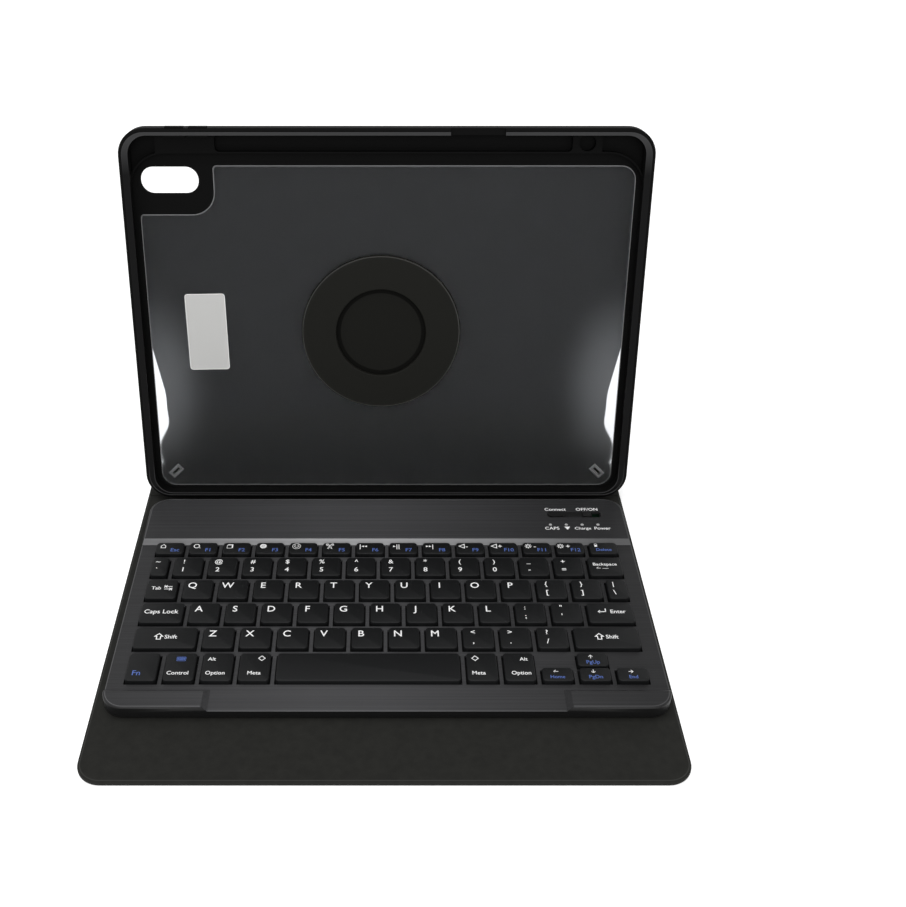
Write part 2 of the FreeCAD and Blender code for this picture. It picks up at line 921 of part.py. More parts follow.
hub_place = tray_place.multiply(
    FreeCAD.Placement(Vector(-hub_x.value, hub_up.value, 0), FreeCAD.Rotation())
)
panel_face = front - hub_gap
ring_back = panel_face + ring_lift
ring_front = floor_top + ring_proud
disc_front = ring_front - disc_recess
shoulder = ring_back + (disc_front - ring_back) / 2


def turned(label, profile):
    """A piece turned about the hub's axis from its half outline."""
    body = new_body(label)
    sketch = new_sketch(body, ZERO, "XZ_Plane")
    polygon(sketch, profile)
    feature = body.newObject("PartDesign::Revolution", label + "_turn")
    feature.Profile = sketch
    feature.ReferenceAxis = (sketch, ["V_Axis"])
    feature.Angle = 360
    doc.recompute()
    return body


def swivel_ring():
    body = turned(
        "swivel_ring",
        [
            (stem_radius, ring_back),
            (ring_hole - panel_clear, ring_back),
            (ring_hole - panel_clear, floor_top),
            (ring_radius, floor_top),
            (ring_radius, ring_front),
            (disc_radius, ring_front),
            (disc_radius, shoulder),
            (stem_radius, shoulder),
        ],
    )
    soften(body, "Fillet", "Radius", ring_proud / 2, level_edge(ring_front))
    finish(body, hub_place)


def swivel_retainer():
    body = turned(
        "swivel_retainer",
        [
            (ring_hole, ring_back),
            (ring_hole + retainer_width, ring_back),
            (ring_hole + retainer_width, front),
            (ring_hole, front),
        ],
    )
    finish(body, hub_place)


def hub_post():
    body = turned(
        "hub_post",
        [
            (ZERO, panel_face),
            (stem_radius - hub_clear, panel_face),
            (stem_radius - hub_clear, shoulder + hub_clear),
            (ZERO, shoulder + hub_clear),
        ],
    )
    finish(body, hub_place)


def screw_places():
    steps = [(1, 0), (0, 1), (-1, 0), (0, -1)]
    return [(hub_screw_circle * x, hub_screw_circle * y) for x, y in steps]


def hub_cap():
    body = turned(
        "hub_cap",
        [
            (ZERO, shoulder + hub_clear),
            (disc_radius - hub_clear, shoulder + hub_clear),
            (disc_radius - hub_clear, disc_front),
            (ZERO, disc_front),
        ],
    )
    finish(body, hub_place)


def hub_screws():
    body = new_body("hub_screws", groups=True)
    outer = panel_face - cover_thick
    sketch = new_sketch(body, outer - hub_screw_head)
    for x, y in screw_places():
        circle(sketch, x, y, hub_screw_radius)
    pad(body, sketch, hub_screw_head)
    finish(body, hub_place)


# Keyboard housing


half_board = board_width / 2
board_rear = -board_setback
board_front = board_rear - board_depth
case_low = cover_thick + feet_height
case_inside = case_low + case_floor
field_top = cover_thick + field_height
plate_under = field_top - plate_skin
deck_top = field_top + deck_rise
deck_front = board_rear - deck_depth
deck_roof = deck_top - plate_skin
key_top = field_top + key_height
key_low = plate_under - key_skirt
bay_half = half_board - deck_wall - case_wall
bay_rear = board_rear - deck_wall - case_wall
bay_front = deck_front + deck_wall
function_back = deck_depth + deck_bevel + function_gap
letters_back = function_back + function_depth + letter_gap


def bottom_case():
    body = new_body("keyboard_bottom_case")
    outline = new_sketch(body, case_low)
    rounded(outline, -half_board, half_board, board_front, board_rear, board_corner)
    pad(body, outline, plate_under - case_low)
    soften(body, "Fillet", "Radius", case_round, level_edge(case_low))
    inside = new_sketch(body, plate_under)
    rounded(
        inside,
        -half_board + case_wall,
        half_board - case_wall,
        board_front + case_wall,
        board_rear - case_wall,
        board_corner - case_wall,
    )
    cut(body, inside, plate_under - case_inside)
    mouth = new_sketch(body, plate_under)
    middle = board_rear - socket_back
    half = socket_width / 2 + control_clear
    inner = half_board - case_wall - overcut
    rectangle(mouth, inner, half_board + overcut, middle - half, middle + half)
    cut(body, mouth, plate_under - case_inside)
    finish(body, board_place)


def top_plate():
    body = new_body("keyboard_top_plate")
    outline = new_sketch(body, plate_under)
    rounded(outline, -half_board, half_board, board_front, board_rear, board_corner)
    pad(body, outline, deck_top - plate_under)
    soften(body, "Fillet", "Radius", deck_round, level_edge(deck_top))

    outside = half_board + overcut
    pads = board_front + pad_depth
    above = deck_top + deck_rise
    field = new_sketch(body, outside, "YZ_Plane")
    polygon(
        field,
        [
            (deck_front - deck_bevel, field_top),
            (deck_front + deck_bevel, above),
            (pads - pad_bevel, above),
            (pads + pad_bevel, field_top),
        ],
    )
    cut(body, field, outside * 2)

    ahead = board_front - overcut
    apron = new_sketch(body, -ahead, "XZ_Plane")
    low = pad_reach - pad_bevel
    high = pad_reach + pad_bevel
    polygon(apron, [(-low, field_top), (low, field_top), (high, above), (-high, above)])
    cut(body, apron, pads - ahead + pad_bevel)

    bay = new_sketch(body, plate_under)
    rectangle(bay, -bay_half, bay_half, bay_front, bay_rear)
    cut(body, bay, deck_roof - plate_under, upwards=True)

    for runs in KEY_NODES.values():
        for left, right, low, high, step, count in runs:
            opening = new_sketch(body, field_top)
            rectangle(
                opening,
                left - key_clear,
                right + key_clear,
                low - key_clear,
                high + key_clear,
            )
            repeat(body, cut(body, opening, plate_skin), step, count)

    middle = board_rear - control_back
    recess = new_sketch(body, deck_top)
    reach = recess_length / 2
    across = recess_width / 2
    rounded(
        recess,
        recess_x - reach,
        recess_x + reach,
        middle - across,
        middle + across,
        recess_corner,
    )
    cut(body, recess, recess_depth)

    controls = new_sketch(body, deck_top)
    half = switch_width / 2
    rectangle(
        controls,
        switch_x - switch_slot / 2,
        switch_x + switch_slot / 2,
        middle - half,
        middle + half,
    )
    connect_outline(controls, control_clear)
    for x in light_places():
        circle(controls, x, board_rear - light_back, light_radius + panel_clear)
    cut(body, controls, plate_skin)
    finish(body, board_place)


def light_places():
    return [light_first + light_pitch * i for i in range(LIGHT_COUNT)]


def keyboard_feet():
    body = new_body("keyboard_feet", groups=True)
    sketch = new_sketch(body, cover_thick)
    side = half_board - foot_inset
    for x in (-side, side):
        for y in (board_rear - foot_inset, board_front + foot_inset):
            circle(sketch, x, y, foot_radius)
    pad(body, sketch, feet_height)
    finish(body, board_place)


def inner_sheet(label, level, thick):
    """A thin sheet that covers the floor of the case under the keys."""
    body = new_body(label)
    margin = case_wall + inner_clear
    sketch = new_sketch(body, level)
    rectangle(
        sketch,
        -half_board + margin,
        half_board - margin,
        board_front + board_corner,
        deck_front,
    )
    pad(body, sketch, thick)
    finish(body, board_place)


def battery_cell():
    body = new_body("battery_cell")
    right = cell_width - bay_half + inner_clear
    middle = (bay_rear + bay_front) / 2
    sketch = new_sketch(body, case_inside)
    half = cell_depth / 2
    rectangle(sketch, -bay_half + inner_clear, right, middle - half, middle + half)
    pad(body, sketch, cell_thick)
    soften(body, "Fillet", "Radius", cell_round, edge_along_x)
    finish(body, board_place)


def circuit_board():
    body = new_body("circuit_board")
    middle = (bay_rear + bay_front) / 2
    half = cell_depth / 2
    right = half_board - case_wall - socket_length - inner_clear
    sketch = new_sketch(body, case_inside)
    rectangle(sketch, right - circuit_width, right, middle - half, middle + half)
    pad(body, sketch, circuit_thick)
    finish(body, board_place)


def charging_socket():
    body = new_body("charging_socket")
    middle = board_rear - socket_back
    half = socket_width / 2
    sketch = new_sketch(body, case_inside)
    outer = half_board - inner_clear
    rectangle(sketch, outer - socket_length, outer, middle - half, middle + half)
    pad(body, sketch, socket_height)
    mouth = new_sketch(body, outer, "YZ_Plane")
    low = case_inside + socket_mouth
    high = case_inside + socket_height - socket_mouth
    inside = half - socket_mouth
    rectangle(mouth, middle - inside, middle + inside, low, high)
    cut(body, mouth, socket_reach)
    finish(body, board_place)


def light_pipes():
    body = new_body("light_pipes", groups=True)
    low = case_inside + circuit_thick
    sketch = new_sketch(body, low)
    for x in light_places():
        circle(sketch, x, board_rear - light_back, light_radius)
    pad(body, sketch, deck_top - low)
    finish(body, board_place)


def power_switch():
    body = new_body("power_switch")
    middle = board_rear - control_back
    left = switch_x - switch_slot / 2 + control_clear
    half = switch_width / 2 - control_clear
    flange = new_sketch(body, deck_roof - control_clear - control_flange)
    rectangle(
        flange,
        left - control_flange,
        left + knob_length + control_flange,
        middle - half - control_flange,
        middle + half + control_flange,
    )
    pad(body, flange, control_flange)
    knob = new_sketch(body, deck_roof - control_clear)
    rectangle(knob, left, left + knob_length, middle - half, middle + half)
    pad(body, knob, plate_skin + control_clear + knob_proud)
    finish(body, board_place)


def connect_outline(sketch, margin):
    middle = board_rear - control_back
    half_length = connect_length / 2 + margin
    half_width = connect_width / 2 + margin
    rounded(
        sketch,
        connect_x - half_length,
        connect_x + half_length,
        middle - half_width,
        middle + half_width,
        connect_corner + margin,
    )


def connect_button():
    body = new_body("connect_button")
    flange = new_sketch(body, deck_roof - control_clear - control_flange)
    connect_outline(flange, control_flange)
    pad(body, flange, control_flange)
    stem = new_sketch(body, deck_roof - control_clear)
    connect_outline(stem, ZERO)
    pad(body, stem, plate_skin + control_clear + connect_proud)
    finish(body, board_place)


# Keys: every row runs from the left end of the key span to its right end, with
# standard keys at one pitch between wider or narrower end keys.


span_left = -(key_span / 2)
span_right = key_span / 2
key_width = key_pitch - key_gap


def row_back(step):
    return board_rear - letters_back - row_pitch * step


def one_key(left, right, low, high):
    return (left, right, low, high, key_pitch, 1)


def standard_keys(left, high, count):
    return (left, left + key_width, high - key_depth, high, key_pitch, count)


def bottom_keys(left, high, depth, count):
    return (left, left + bottom_pitch - key_gap, high - depth, high, bottom_pitch, count)


def function_row():
    high = board_rear - function_back
    step = (key_span + key_gap) / FUNCTION_COUNT
    right = span_left + step - key_gap
    return (span_left, right, high - function_depth, high, step, FUNCTION_COUNT)


def letter_row(step, first_width, count):
    """First key, standard keys and last key of a letter row."""
    high = row_back(step)
    low = high - key_depth
    start = span_left + first_width + key_gap
    return (
        one_key(span_left, span_left + first_width, low, high),
        standard_keys(start, high, count),
        one_key(start + key_pitch * count, span_right, low, high),
    )


accent_key, digit_keys, backspace_key = letter_row(0, accent_width, DIGIT_COUNT)
tab_key, upper_keys, slash_key = letter_row(1, tab_width, UPPER_COUNT)
caps_key, home_keys, enter_key = letter_row(2, caps_width, HOME_COUNT)
left_shift, lower_keys, right_shift = letter_row(3, shift_width, LOWER_COUNT)

bottom_high = row_back(4)
bottom_low = bottom_high - bottom_depth
right_start = span_right - bottom_pitch * (RIGHT_MODIFIER_COUNT + ARROW_COLUMNS) + key_gap
arrow_start = right_start + bottom_pitch * RIGHT_MODIFIER_COUNT
arrow_middle = arrow_start + bottom_pitch
arrow_end = arrow_middle + bottom_pitch
arrow_depth = (bottom_depth - arrow_gap) / 2
arrow_high = bottom_low + arrow_depth
modifier_left = span_left + bottom_pitch
space_left = modifier_left + bottom_pitch * LEFT_MODIFIER_COUNT

KEY_NODES = {
    "function_keys": [function_row()],
    "digit_keys": [accent_key, digit_keys],
    "backspace_key": [backspace_key],
    "tab_key": [tab_key],
    "upper_letter_keys": [upper_keys, slash_key],
    "caps_lock_key": [caps_key],
    "home_letter_keys": [home_keys],
    "enter_key": [enter_key],
    "left_shift_key": [left_shift],
    "lower_letter_keys": [lower_keys],
    "right_shift_key": [right_shift],
    "fn_key": [bottom_keys(span_left, bottom_high, bottom_depth, 1)],
    "left_modifier_keys": [
        bottom_keys(modifier_left, bottom_high, bottom_depth, LEFT_MODIFIER_COUNT)
    ],
    "space_bar": [one_key(space_left, right_start - key_gap, bottom_low, bottom_high)],
    "right_modifier_keys": [
        bottom_keys(right_start, bottom_high, bottom_depth, RIGHT_MODIFIER_COUNT)
    ],
    "left_arrow_key": [bottom_keys(arrow_start, arrow_high, arrow_depth, 1)],
    "up_arrow_key": [bottom_keys(arrow_middle, bottom_high, arrow_depth, 1)],
    "down_arrow_key": [bottom_keys(arrow_middle, arrow_high, arrow_depth, 1)],
    "right_arrow_key": [bottom_keys(arrow_end, arrow_high, arrow_depth, 1)],
}


def key_group(label, runs):
    body = new_body(label, groups=True)
    for left, right, low, high, step, count in runs:
        sketch = new_sketch(body, key_low)
        rounded(sketch, left, right, low, high, key_corner)
        repeat(body, pad(body, sketch, key_top - key_low), step, count)
    finish(body, board_place)


# Build every piece

base_cover()
base_magnets()
spine_board()
prop_board()
back_panel()
tray_frame()
for name, place in zip(("volume_up_cover", "volume_down_cover"), button_places()):
    volume_cover(name, place)
clear_panel()
bare_plate()
swivel_ring()
swivel_retainer()
hub_post()
hub_cap()
hub_screws()
bottom_case()
top_plate()
keyboard_feet()
inner_sheet("backing_sheet", case_inside, backing_thick)
inner_sheet("dome_sheet", case_inside + backing_thick, dome_thick)
battery_cell()
circuit_board()
charging_socket()
light_pipes()
power_switch()
connect_button()
for name, runs in KEY_NODES.items():
    key_group(name, runs)

doc.recompute()

for item in doc.Objects:
    if "Invalid" in item.State or "Error" in item.State:
        raise RuntimeError(f"{item.Label} failed: {item.State}")
for body in finished:
    if body.Shape.isNull() or not body.Shape.isValid():
        raise RuntimeError(f"{body.Label} has no valid shape")

os.makedirs("parts", exist_ok=True)
for body in finished:
    body.Shape.exportStep(f"parts/{body.Label}.step")

print(f"{len(finished)} pieces")
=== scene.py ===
# %% [markdown]
# # A tablet keyboard case
# The case is a folding cover with a keyboard on its base and a tray that holds a tablet. Its solids
# come from the CAD model and are already in place, in metres. They could be modelled again here,
# but then the two models would drift apart, so this lesson only dresses them: it adds finishes,
# some with painted light, rounded keycaps, print, painted highlights and shade along fine edges
# and the soft strips over the folds.

# %% Load the solids
import json
import math

import bmesh
import bpy
from mathutils import Matrix, Vector


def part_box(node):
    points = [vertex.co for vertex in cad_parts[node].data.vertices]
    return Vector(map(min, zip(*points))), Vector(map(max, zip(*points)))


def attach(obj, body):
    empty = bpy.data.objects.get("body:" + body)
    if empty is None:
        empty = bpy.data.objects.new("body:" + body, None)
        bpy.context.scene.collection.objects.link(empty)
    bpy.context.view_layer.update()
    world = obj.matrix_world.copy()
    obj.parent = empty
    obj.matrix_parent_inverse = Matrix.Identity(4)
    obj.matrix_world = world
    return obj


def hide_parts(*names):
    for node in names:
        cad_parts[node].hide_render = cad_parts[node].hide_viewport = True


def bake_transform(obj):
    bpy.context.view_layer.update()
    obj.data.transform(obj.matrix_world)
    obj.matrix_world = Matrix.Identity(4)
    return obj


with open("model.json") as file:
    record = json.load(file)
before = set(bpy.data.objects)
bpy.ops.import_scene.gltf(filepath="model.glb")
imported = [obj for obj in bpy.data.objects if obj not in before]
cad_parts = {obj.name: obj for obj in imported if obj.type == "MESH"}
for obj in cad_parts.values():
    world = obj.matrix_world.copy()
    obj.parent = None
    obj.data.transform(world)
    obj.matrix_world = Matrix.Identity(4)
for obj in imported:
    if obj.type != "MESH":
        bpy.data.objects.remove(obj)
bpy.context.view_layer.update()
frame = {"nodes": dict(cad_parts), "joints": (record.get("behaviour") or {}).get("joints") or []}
nodes = frame["nodes"]
joints = {joint["name"]: joint for joint in frame["joints"]}
MM = 0.001
TOUCH = 1e-6
UP = Vector((0, 0, 1))
print("solids loaded:", len(nodes))

# %% [markdown]
# ## Finishes with a grain
# Every surface of the case is black or dark grey, so the finishes differ in their gloss and
# their grain rather than in their colour. A small helper makes a principled shader and
# adds one noise texture, read in Object coordinates, that ripples the surface.
# Stretching that noise along X gives brushed metal, and leaving it even gives moulded plastic.

# %% A shader with a grain
bpy.context.scene.view_settings.view_transform = "Standard"
NOISE_SPAN = (0.3, 0.7)


def finish_with_grain(name, color, roughness, scale, depth, metallic=0.0, gloss=0.5):
    """A shader whose surface is rippled by a noise of the given scale and depth in metres."""
    material = bpy.data.materials.new(name)
    material.use_nodes = True
    tree = material.node_tree
    shader = tree.nodes["Principled BSDF"]
    shader.inputs["Base Color"].default_value = (*color, 1.0)
    shader.inputs["Roughness"].default_value = roughness
    shader.inputs["Metallic"].default_value = metallic
    shader.inputs["Specular IOR Level"].default_value = gloss
    place = tree.nodes.new("ShaderNodeTexCoord")
    mapping = tree.nodes.new("ShaderNodeMapping")
    mapping.inputs["Scale"].default_value = scale
    noise = tree.nodes.new("ShaderNodeTexNoise")
    noise.inputs["Scale"].default_value = 1.0
    noise.inputs["Detail"].default_value = 4.0
    bump = tree.nodes.new("ShaderNodeBump")
    bump.inputs["Strength"].default_value = 1.0
    bump.inputs["Distance"].default_value = depth
    tree.links.new(place.outputs["Object"], mapping.inputs["Vector"])
    tree.links.new(mapping.outputs["Vector"], noise.inputs["Vector"])
    tree.links.new(noise.outputs["Fac"], bump.inputs["Height"])
    tree.links.new(bump.outputs["Normal"], shader.inputs["Normal"])
    return material


def node_of(material, kind):
    """The first node of a kind in a material."""
    return next(node for node in material.node_tree.nodes if node.type == kind)


def tint_by_noise(material, spread):
    """Let the material's own noise also make its colour darker and lighter, by a share of it."""
    tree = material.node_tree
    base_color = tree.nodes["Principled BSDF"].inputs["Base Color"]
    ramp = tree.nodes.new("ShaderNodeValToRGB")
    shares = (1 - spread, 1 + spread)
    for stop, position, share in zip(ramp.color_ramp.elements, NOISE_SPAN, shares):
        stop.position = position
        stop.color = [channel * share for channel in base_color.default_value[:3]] + [1.0]
    tree.links.new(node_of(material, "TEX_NOISE").outputs["Fac"], ramp.inputs["Fac"])
    tree.links.new(ramp.outputs["Color"], base_color)


def even(scale):
    return (scale, scale, scale)


def moulded(name, color, roughness, scale, depth, gloss):
    """Moulded plastic or rubber: one colour with an even, fine grain."""
    return finish_with_grain(name, color, roughness, even(scale), depth, gloss=gloss)


print("noise tints between", NOISE_SPAN)

# %% [markdown]
# ## Plastic, rubber and steel
# The tray is soft black rubber, the ring and the keyboard are moulded plastic, and small pieces
# are steel. They could share one black, but then their edges would melt into each other. Each
# gets its own grain, gloss and depth of black, so that the pieces part where they meet.

# %% Plain finishes
soft_black = moulded("soft black frame", (0.0055, 0.0055, 0.0055), 0.55, 900, 3e-6, 0.015)
# Paler copies of the frame's black: painted highlights on the tray's lip.
lip_edge_highlight = moulded("lip edge", (0.055, 0.055, 0.056), 0.45, 900, 3e-6, 0.02)
lip_top_highlight = moulded("lip sheen", (0.048, 0.048, 0.049), 0.45, 900, 3e-6, 0.02)
ring_black = moulded("ring plastic", (0.0085, 0.0085, 0.007), 0.6, 1400, 6e-6, 0.09)
# The disc is darker than the ring: partly its own tone, partly painted shade of its deep recess.
disc_black_and_shade = moulded("disc plastic", (0.0072, 0.0072, 0.006), 0.65, 1400, 6e-6, 0.08)
# A darker black for the painted shade along the disc's rim.
disc_shade = moulded("disc edge", (0.0035, 0.0035, 0.003), 0.7, 1400, 6e-6, 0.04)
case_black = moulded("case plastic", (0.006, 0.006, 0.006), 0.45, 1200, 5e-6, 0.25)
key_black = moulded("key plastic", (0.0055, 0.0058, 0.0062), 0.5, 1600, 4e-6, 0.16)
foot_black = moulded("foot rubber", (0.01, 0.01, 0.01), 0.8, 700, 1e-5, 0.2)
bare_steel = finish_with_grain(
    "bare steel", (0.48, 0.48, 0.47), 0.5, (2500, 60, 60), 3e-6, metallic=0.35
)
# A pale steel for the painted highlight along the bare plate's edge.
steel_edge_highlight = finish_with_grain("bright steel", (0.75, 0.75, 0.74), 0.4, even(800), 1e-6)
screw_steel = finish_with_grain("screw steel", (0.4, 0.4, 0.4), 0.35, even(800), 3e-6, metallic=1.0)
board_green = finish_with_grain("circuit board", (0.02, 0.07, 0.035), 0.5, even(900), 1e-5)
cell_grey = finish_with_grain("cell wrap", (0.25, 0.25, 0.26), 0.5, even(900), 1e-5)
print("plain finishes made")

# %% [markdown]
# ## Leatherette
# The cover boards are wrapped in a matt leatherette with a fine pressed grain. A noise alone looks
# like cloth, so a Voronoi texture is laid over it: the height follows the distance to the nearest
# cell centre, which makes small dimples between ridges. The broad noise also shifts the colour.

# %% Leatherette with a pebbled grain
PEBBLE_SCALE = 1500.0
PEBBLE_STRENGTH = 0.35
PEBBLE_DEPTH = 6e-5
leatherette = moulded("leatherette", (0.0145, 0.0145, 0.01285), 0.72, 260, 4e-5, 0.12)
tint_by_noise(leatherette, spread=0.14)
leather_tree = leatherette.node_tree
leather_shader = leather_tree.nodes["Principled BSDF"]
pebbles = leather_tree.nodes.new("ShaderNodeTexVoronoi")
pebbles.inputs["Scale"].default_value = PEBBLE_SCALE
pebble_bump = leather_tree.nodes.new("ShaderNodeBump")
pebble_bump.inputs["Strength"].default_value = PEBBLE_STRENGTH
pebble_bump.inputs["Distance"].default_value = PEBBLE_DEPTH
leather_place = node_of(leatherette, "TEX_COORD")
broad_bump = node_of(leatherette, "BUMP")
leather_tree.links.new(leather_place.outputs["Object"], pebbles.inputs["Vector"])
leather_tree.links.new(pebbles.outputs["Distance"], pebble_bump.inputs["Height"])
leather_tree.links.new(broad_bump.outputs["Normal"], pebble_bump.inputs["Normal"])
leather_tree.links.new(pebble_bump.outputs["Normal"], leather_shader.inputs["Normal"])
# A pale leatherette for the painted highlight along the base cover's cut edge.
cover_edge_highlight = moulded("leatherette edge", (0.03, 0.03, 0.028), 0.7, 700, 1e-5, 0.15)
lining = moulded("board lining", (0.0088, 0.0088, 0.0086), 0.72, 700, 1e-5, 0.1)
print("leatherette made")

# %% [markdown]
# ## Brushed plate
# The keyboard's top plate is dark brushed metal: scratches run across it, left to right.
# A noise squeezed in Y and drawn out in X makes the scratches. They change both the colour and
# the slope of the surface. Scratches that run left to right throw light back in one broad band;
# that band is painted into the colour, so the plate is painted lightest a little left of its middle
# and darker towards both sides.

# %% Fade a colour along an axis
def math_node(tree, operation):
    node = tree.nodes.new("ShaderNodeMath")
    node.operation = operation
    return node


def fade_along(material, axis, middle, reach, shares):
    """Scale a finish's colour by the distance, along an axis, from a middle plane."""
    tree = material.node_tree
    base_color = tree.nodes["Principled BSDF"].inputs["Base Color"]
    place = node_of(material, "TEX_COORD")
    along = tree.nodes.new("ShaderNodeVectorMath")
    along.operation = "DOT_PRODUCT"
    along.inputs[1].default_value = axis
    offset = math_node(tree, "SUBTRACT")
    offset.inputs[1].default_value = middle
    distance = math_node(tree, "ABSOLUTE")
    fade = tree.nodes.new("ShaderNodeMapRange")
    fade.inputs["From Min"].default_value = reach[0]
    fade.inputs["From Max"].default_value = reach[1]
    fade.inputs["To Min"].default_value = shares[0]
    fade.inputs["To Max"].default_value = shares[1]
    scaled = tree.nodes.new("ShaderNodeVectorMath")
    scaled.operation = "SCALE"
    if base_color.is_linked:
        tree.links.new(base_color.links[0].from_socket, scaled.inputs[0])
    else:
        scaled.inputs[0].default_value = base_color.default_value[:3]
    tree.links.new(place.outputs["Object"], along.inputs[0])
    tree.links.new(along.outputs["Value"], offset.inputs[0])
    tree.links.new(offset.outputs["Value"], distance.inputs[0])
    tree.links.new(distance.outputs["Value"], fade.inputs["Value"])
    tree.links.new(fade.outputs["Result"], scaled.inputs["Scale"])
    tree.links.new(scaled.outputs["Vector"], base_color)


print("a colour can fade along an axis")

# %% [markdown]
# ## Brushed plate and its painted highlights
# The flat plate, its cut edge and the slope before the rear deck are the same metal in different
# light. One finish would need a lamp for each of them. Three finishes share one grain and one
# painted band of light instead, and differ in how pale they are: the edge and the slope are painted
# highlights.

# %% Brushed plate
BRUSH_SCALE = (6.0, 1600.0, 1600.0)
# The painted band of light: the colour is scaled by the distance in x from its middle.
PLATE_PAINTED_LIGHT_MIDDLE = -16 * MM
PLATE_PAINTED_LIGHT_REACH = (15 * MM, 130 * MM)
PLATE_PAINTED_LIGHT_SHARES = (1.12, 0.34)
brushed_plate = finish_with_grain(
    "brushed plate", (0.051, 0.051, 0.0535), 0.5, BRUSH_SCALE, 4e-6, metallic=0.15, gloss=0.2
)
# Paler copies of the plate's metal: painted highlights for its cut edge and its slope.
plate_edge_highlight = finish_with_grain(
    "plate edge", (0.14, 0.14, 0.145), 0.35, BRUSH_SCALE, 2e-6, metallic=0.3
)
slope_highlight = finish_with_grain(
    "slope sheen", (0.25, 0.25, 0.255), 0.45, BRUSH_SCALE, 4e-6, metallic=0.15, gloss=0.2
)
for brushed, spread in ((brushed_plate, 0.2155), (plate_edge_highlight, 0.106), (slope_highlight, 0.1)):
    tint_by_noise(brushed, spread)
    fade_along(brushed, (1, 0, 0), PLATE_PAINTED_LIGHT_MIDDLE, PLATE_PAINTED_LIGHT_REACH, PLATE_PAINTED_LIGHT_SHARES)
print("brushed plate glows at x =", PLATE_PAINTED_LIGHT_MIDDLE)

# %% [markdown]
# ## Clear sheet and print
# The tray's back is a clear sheet, and the keys and lights are marked in white and blue. Glass
# would mirror the room too strongly, so the sheet bends light less than glass and is a little
# rough. The print is matt, because ink on plastic has no gloss of its own.

# %% Clear sheet and print
SHEET_IOR = 1.13
clear_sheet = moulded("clear sheet", (0.9, 0.92, 0.95), 0.3, 40, 4e-5, 0.5)
clear_shader = clear_sheet.node_tree.nodes["Principled BSDF"]
clear_shader.inputs["Transmission Weight"].default_value = 1.0
clear_shader.inputs["IOR"].default_value = SHEET_IOR
white_print = finish_with_grain("white print", (0.95, 0.95, 0.95), 0.6, even(2000), 1e-6)
blue_print = finish_with_grain("blue print", (0.075, 0.14, 0.44), 0.6, even(2000), 1e-6)
light_clear = finish_with_grain("light pipe", (0.45, 0.45, 0.45), 0.3, even(2000), 1e-6)
print("clear sheet and print made")

# %% [markdown]
# ## Dress the solids
# The rigid pieces are shown as they were built, and the pieces that are shut away inside the
# keyboard get a finish as well. A call for each would be hard to check, so one table pairs every
# solid with its finish, and a short loop goes through the table.

# %% Give each shown solid its finish
NODE_FINISH = {
    "base_cover": leatherette,
    "spine_board": leatherette,
    "prop_board": leatherette,
    "back_panel": leatherette,
    "tray_frame": soft_black,
    "volume_up_cover": soft_black,
    "volume_down_cover": soft_black,
    "clear_panel": clear_sheet,
    "swivel_ring": ring_black,
    "swivel_retainer": ring_black,
    "hub_post": ring_black,
    "hub_cap": disc_black_and_shade,
    "hub_screws": screw_steel,
    "bare_plate": bare_steel,
    "base_magnets": screw_steel,
    "keyboard_top_plate": brushed_plate,
    "keyboard_bottom_case": case_black,
    "keyboard_feet": foot_black,
    "dome_sheet": foot_black,
    "backing_sheet": board_green,
    "circuit_board": board_green,
    "battery_cell": cell_grey,
    "charging_socket": screw_steel,
    "light_pipes": light_clear,
    "power_switch": case_black,
    "connect_button": case_black,
}


def paint(obj, material):
    obj.data.materials.clear()
    obj.data.materials.append(material)


for node_name, material in NODE_FINISH.items():
    paint(nodes[node_name], material)
print("dressed solids:", len(NODE_FINISH))

# %% [markdown]
# ## Keycaps
# The keys stand in rows, and keys that look alike share one solid. Their places could be typed in
# by hand, but the solid knows them: its mesh is split into islands, one for each key, and every
# island gives a box.

# %% Find the keys in a row
KEY_NODES = sorted(
    name for name in nodes if name.endswith(("_key", "_keys")) or name == "space_bar"
)


def island_boxes(node_name):
    """Lowest and highest corner of each separate solid in a node, from left to right."""
    mesh = bmesh.new()
    mesh.from_mesh(nodes[node_name].data)
    bmesh.ops.remove_doubles(mesh, verts=mesh.verts, dist=TOUCH)
    waiting = set(mesh.verts)
    boxes = []
    while waiting:
        island = [waiting.pop()]
        for vert in island:
            for edge in vert.link_edges:
                other = edge.other_vert(vert)
                if other in waiting:
                    waiting.remove(other)
                    island.append(other)
        low = Vector(min(vert.co[axis] for vert in island) for axis in range(3))
        high = Vector(max(vert.co[axis] for vert in island) for axis in range(3))
        boxes.append((low, high))
    mesh.free()
    return sorted(boxes, key=lambda box: box[0].x)


boxes_of = {name: island_boxes(name) for name in KEY_NODES}
print("keys found:", sum(len(boxes) for boxes in boxes_of.values()))

# %% [markdown]
# ## Rounded caps
# Each key is a low cap with rounded corners and a softened top edge that catches the light.
# Sculpting would be slow and uneven. A cube of the key's size with two bevels is enough: one
# bevel rounds the upright corners, and a smaller one runs around the top.

# %% Shape the keycaps
KEY_CORNER = 1.6 * MM
CORNER_STEPS = 4
KEY_EDGE = 0.5 * MM
EDGE_STEPS = 3
KEY_INSET = Vector((0.3, 0.0, 0.0)) * MM
SHARP_ANGLE = math.radians(35)


def bevel_edges(mesh, edges, offset, segments):
    bmesh.ops.bevel(
        mesh,
        geom=edges,
        offset=offset,
        segments=segments,
        profile=0.5,
        affect="EDGES",
        material=-1,
    )


